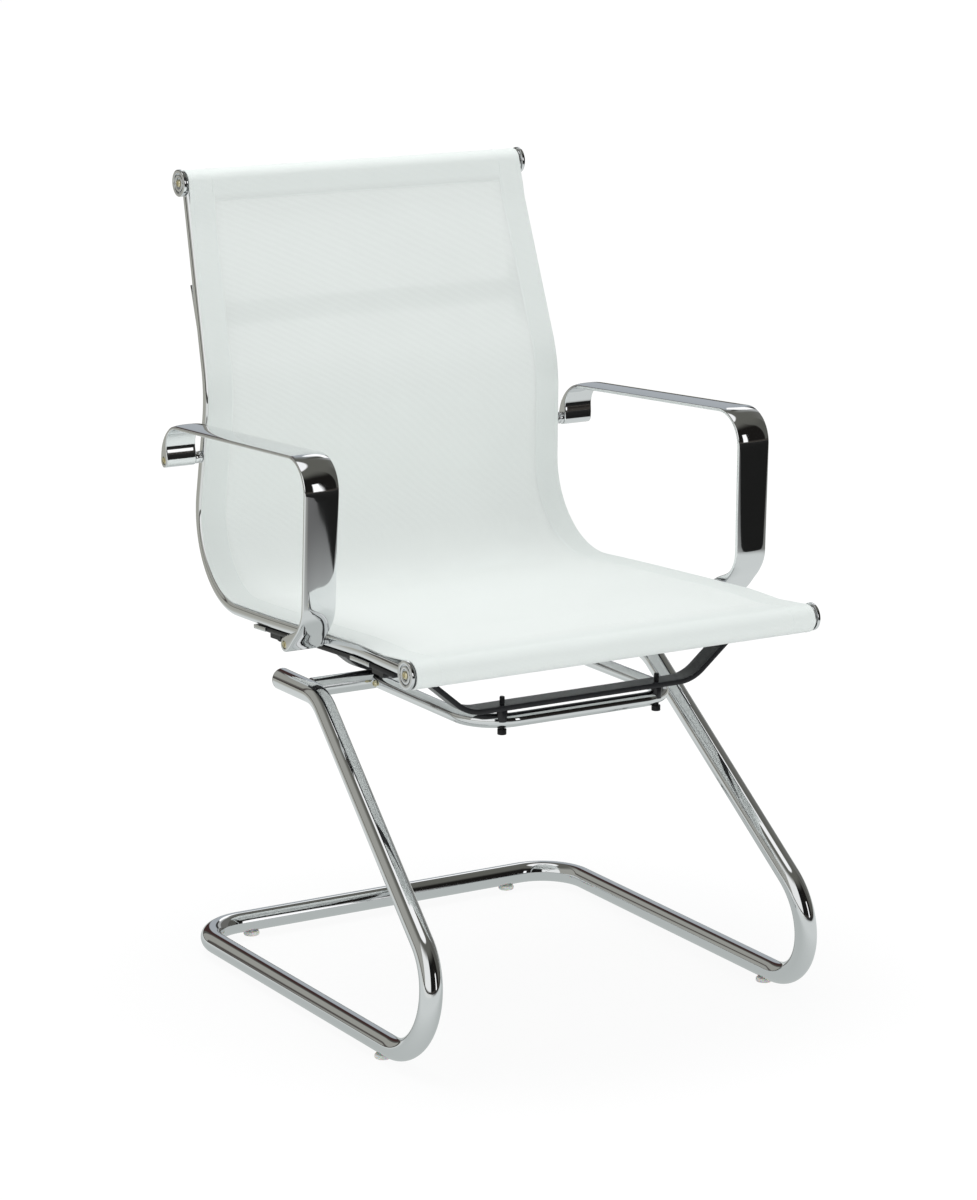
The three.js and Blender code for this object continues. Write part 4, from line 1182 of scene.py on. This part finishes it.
# %% Dressed copies
def dressed(node, finish, slot, bevel):
    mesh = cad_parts[node].data.copy()
    mesh.name = node + "_dressed"
    mesh.materials.clear()
    mesh.materials.append(finish)
    shell = bmesh.new()
    shell.from_mesh(mesh)
    bmesh.ops.remove_doubles(shell, verts=shell.verts, dist=1e-5)
    bmesh.ops.dissolve_limit(shell, angle_limit=radians(1.5), verts=shell.verts, edges=shell.edges)
    bmesh.ops.recalc_face_normals(shell, faces=shell.faces)
    for face in shell.faces:
        face.material_index = 0
    shell.to_mesh(mesh)
    shell.free()
    piece = new_object(mesh.name, mesh)
    edge = piece.modifiers.new("edges", "BEVEL")
    edge.width = bevel * mm
    edge.segments = 2
    edge.limit_method = "ANGLE"
    edge.angle_limit = radians(40)
    smooth(settled(piece).data)
    return finished(piece, slot, node)


dressed("back_brace", chrome, "chrome", 2.0)
for side, _ in left_and_right:
    dressed("side_plate_" + side, black_steel, "black_steel", 0.5)
    dressed("rail_clip_rear_" + side, bright_zinc, "zinc", 0.3)
    dressed("rail_clip_front_" + side, bright_zinc, "zinc", 0.3)
    dressed("front_bar_spacer_" + side, black_steel, "black_steel", 0.4)

# %% [markdown]
# ## Floor
#
# The chair stands on white paper, which is a different thing to each kind of ray. The camera
# sees it glow just below white and a little less near the chair, which paints most of the
# soft shade there, and a thin share of matt paint catches the shadow of the lamps. Chrome
# sees a duller paper with the chair's shadow painted in beneath it; its colour goes by
# distance and, far out, by bearing. All other rays meet matt white.

# %% Helpers for the surroundings
def bare_tree(owner):
    owner.use_nodes = True
    owner.node_tree.nodes.clear()
    return owner.node_tree


def staged_sheet(name, corners, level, material):
    """A flat sheet that belongs to the studio and not to the chair."""
    mesh = bpy.data.meshes.new(name)
    mesh.from_pydata([(x, y, level) for x, y in corners], [], [tuple(range(len(corners)))])
    mesh.materials.append(material)
    sheet = new_object(name, mesh)
    return sheet


def ramp(tree, source, stops):
    shade = add_node(tree, "ShaderNodeValToRGB", {"Fac": source})["Color"]
    elements = shade.node.color_ramp.elements
    while len(elements) < len(stops):
        elements.new(0.5)
    for element, (position, colour) in zip(elements, stops):
        element.position = position
        element.color = (*colour, 1)
    return shade


def seen_by(tree, camera, mirrors, others):
    """One shader for the camera's rays, one for mirrored rays and one for all others."""
    rays = add_node(tree, "ShaderNodeLightPath")
    mirrored = compute(tree, "MAXIMUM", rays["Is Glossy Ray"], rays["Is Transmission Ray"])
    unseen = add_node(tree, "ShaderNodeMixShader", {0: mirrored, 1: others, 2: mirrors})[0]
    return add_node(tree, "ShaderNodeMixShader", {0: rays["Is Camera Ray"], 1: unseen, 2: camera})[0]


def turned_to(degrees):
    """A bearing, in degrees from straight behind the chair, as a place on a ramp."""
    return degrees / 360 + 0.5


def bearing(tree, across, along):
    return compute(tree, "MULTIPLY_ADD", compute(tree, "ARCTAN2", across, along), 1 / (2 * pi), 0.5)


# %% Floor
floor_corners = [(-14, -14), (14, -14), (14, 14), (-14, 14)]  # metres
floor_glow = 0.98
shaded_glow = 0.918  # under and round the chair
thin_paint = 0.07
matt_paint = 0.9
shade_near, shade_far = 0.3, 0.8  # metres from the chair's middle
under_chair, beside_chair, near_chair, far_away = 0.3, 0.6, 1.1, 2.1
# Under the chair the paper that chrome sees is darker: the chair's shadow, painted into its colour.
painted_shadow_tone, near_tone = (0.52, 0.55, 0.54), (0.70, 0.73, 0.72)
far_tones = [  # bearing in degrees and colour
    (-180, (0.2, 0.2, 0.19)), (-150, (0.8, 0.82, 0.8)), (-85, (0.8, 0.82, 0.8)),
    (-60, (0.42, 0.42, 0.38)), (50, (0.42, 0.42, 0.38)), (90, (0.3, 0.3, 0.28)),
    (150, (0.13, 0.13, 0.13)), (180, (0.16, 0.16, 0.16)),
]

paper = bpy.data.materials.new("paper")
tree = bare_tree(paper)
floor_place = add_node(tree, "ShaderNodeTexCoord")["Object"]
axes = split(tree, floor_place)
away = add_node(tree, "ShaderNodeVectorMath", {0: floor_place}, operation="LENGTH")["Value"]
far_paper = ramp(
    tree, bearing(tree, axes["X"], axes["Y"]), [(turned_to(start), colour) for start, colour in far_tones],
)
# Painted shadow: the mirrored paper darkens towards the chair.
near_paper = blended(tree, eased_step(tree, away, under_chair, beside_chair), painted_shadow_tone, near_tone)
mirrored_paper = blended(tree, eased_step(tree, away, near_chair, far_away), near_paper, far_paper)
fading = eased_step(tree, away, shade_near, shade_far, shaded_glow, floor_glow)
glow = add_node(tree, "ShaderNodeEmission", {"Strength": fading})[0]
in_chrome = add_node(tree, "ShaderNodeEmission", {"Color": mirrored_paper})[0]
thin, matt = (
    add_node(tree, "ShaderNodeBsdfDiffuse", {"Color": (tone,) * 3})[0] for tone in (thin_paint, matt_paint)
)
seen = add_node(tree, "ShaderNodeAddShader", {0: thin, 1: glow})[0]
add_node(tree, "ShaderNodeOutputMaterial", {"Surface": seen_by(tree, seen, in_chrome, matt)})
floor = staged_sheet("floor", floor_corners, 0, paper)
print(floor.name, "size:", [round(v) for v in floor.dimensions], "m")

# %% [markdown]
# ## The room
#
# The world does three jobs: it is white behind the chair, it is the room that chrome
# reflects, and it gives the even light that all other rays find. Chrome is drawn by dark
# things as much as by bright ones, so the room's walls are light and dark by turns, with a
# bright one on one side of the camera and an almost black one on the other. Three lit
# windows, one of them overhead, give chrome its bright marks.

# %% World
ambient = 0.70
walls = [  # where each begins, in degrees from straight behind the chair, and its colour
    (-180, (0.01, 0.01, 0.01)), (-150, (0.95, 0.96, 0.95)), (-94, (0.38, 0.38, 0.35)),
    (-33, (0.07, 0.06, 0.055)), (-29, (0.36, 0.36, 0.33)),
    (-4, (0.10, 0.10, 0.09)), (3, (0.055, 0.03, 0.028)), (20, (0.42, 0.45, 0.48)),
    (42, (0.03, 0.03, 0.03)), (50, (0.45, 0.46, 0.46)), (62, (0.16, 0.16, 0.15)),
    (98, (0.1, 0.1, 0.09)), (130, (0.012, 0.011, 0.01)),
]
wall_edge = 1  # degrees
ceiling, ceiling_low, ceiling_high = (0.13, 0.13, 0.115), 0.6, 0.85
skirting, skirting_low, skirting_high = (0.05, 0.045, 0.04), 0.02, 0.06
windows = [  # bearings, heights and brightness
    ((33, 52), (0.5, 0.68), 1.3), ((152, 161), (0.01, 0.38), 1.3), ((-190, 190), (0.935, 1.1), 1.1),
]
window_side, window_rim = 1 / 360, 0.012  # how soft its edges are, in turns and in height

world = bpy.data.worlds.new("studio")
bpy.context.scene.world = world
tree = bare_tree(world)
axes = split(tree, add_node(tree, "ShaderNodeTexCoord")["Generated"])
turn, up = bearing(tree, axes["X"], axes["Y"]), axes["Z"]


def window_mask(turn_limits, up_limits):
    """1 inside a soft-edged window in the room, and 0 outside it."""
    inside = 1
    for source, (low, high), edge in ((turn, turn_limits, window_side), (up, up_limits, window_rim)):
        rising = eased_step(tree, source, low - edge, low + edge)
        falling = eased_step(tree, source, high + edge, high - edge)
        inside = compute(tree, "MULTIPLY", inside, compute(tree, "MULTIPLY", rising, falling))
    return inside


ends = [start for start, _ in walls[1:]] + [180]
stops = []
for (start, colour), end in zip(walls, ends):
    stops += [(turned_to(start + wall_edge), colour), (turned_to(end - wall_edge), colour)]
room = ramp(tree, turn, stops)
room = blended(tree, eased_step(tree, up, ceiling_low, ceiling_high), room, ceiling)
room = blended(tree, eased_step(tree, up, skirting_low, skirting_high), skirting, room)
for (start, end), heights, level in windows:
    room = blended(tree, window_mask((turned_to(start), turned_to(end)), heights), room, (level,) * 3)
even, white, studio = (
    add_node(tree, "ShaderNodeBackground", {"Color": colour, "Strength": strength})[0]
    for colour, strength in (((0.98, 1, 1), ambient), ((1, 1, 1), 1), (room, 1))
)
add_node(tree, "ShaderNodeOutputWorld", {"Surface": seen_by(tree, white, studio, even)})
print("room:", len(walls), "walls and", len(windows), "windows")

# %% [markdown]
# ## Lamps and the dark card
#
# One wide lamp overhead gives the seat more light than the back, and a soft box in front
# lifts the back. Chrome sees neither. Beyond the white paper the studio floor is dark, which
# chrome shows as black on the faces that look forward. A card does that, cut at a slant so
# that the black ends where it does on each arm, and it is seen only in reflections.

# %% Lamps
lamps = [  # name, place, width, height and watts
    ("overhead", (-0.4, 0.7, 3.2), 1.6, 1.6, 41),
    ("front_fill", (0.4, -3.4, 0.9), 2.4, 1.6, 23),
]
seat_middle = Vector((0, 0, 0.6))
for name, place, width, height, watts in lamps:
    light = bpy.data.lights.new(name, "AREA")
    light.shape = "RECTANGLE"
    light.size = width
    light.size_y = height
    light.energy = watts
    holder = bpy.data.objects.new(name, light)
    bpy.context.scene.collection.objects.link(holder)
    holder.location = place
    holder.rotation_euler = (seat_middle - Vector(place)).to_track_quat("-Z", "Y").to_euler()
    holder.visible_camera = False
    holder.visible_glossy = False

# %% Dark card beyond the paper
card_level = 0.004
card_corners = [
    (-6, -8.3), (-6, -13), (13, -13), (13, -0.9), (1.6, -1.15), (1.0, -1.3), (0.75, -1.72), (0.2, -2.9),
]
felt, _, _ = new_finish("felt", (0.002,) * 3, Roughness=1)
card = staged_sheet("dark_card", card_corners, card_level, felt)
card.visible_camera = False
card.visible_diffuse = False
card.visible_shadow = False

bpy.context.scene.view_settings.view_transform = "Standard"
print("lamps:", [name for name, *_ in lamps])
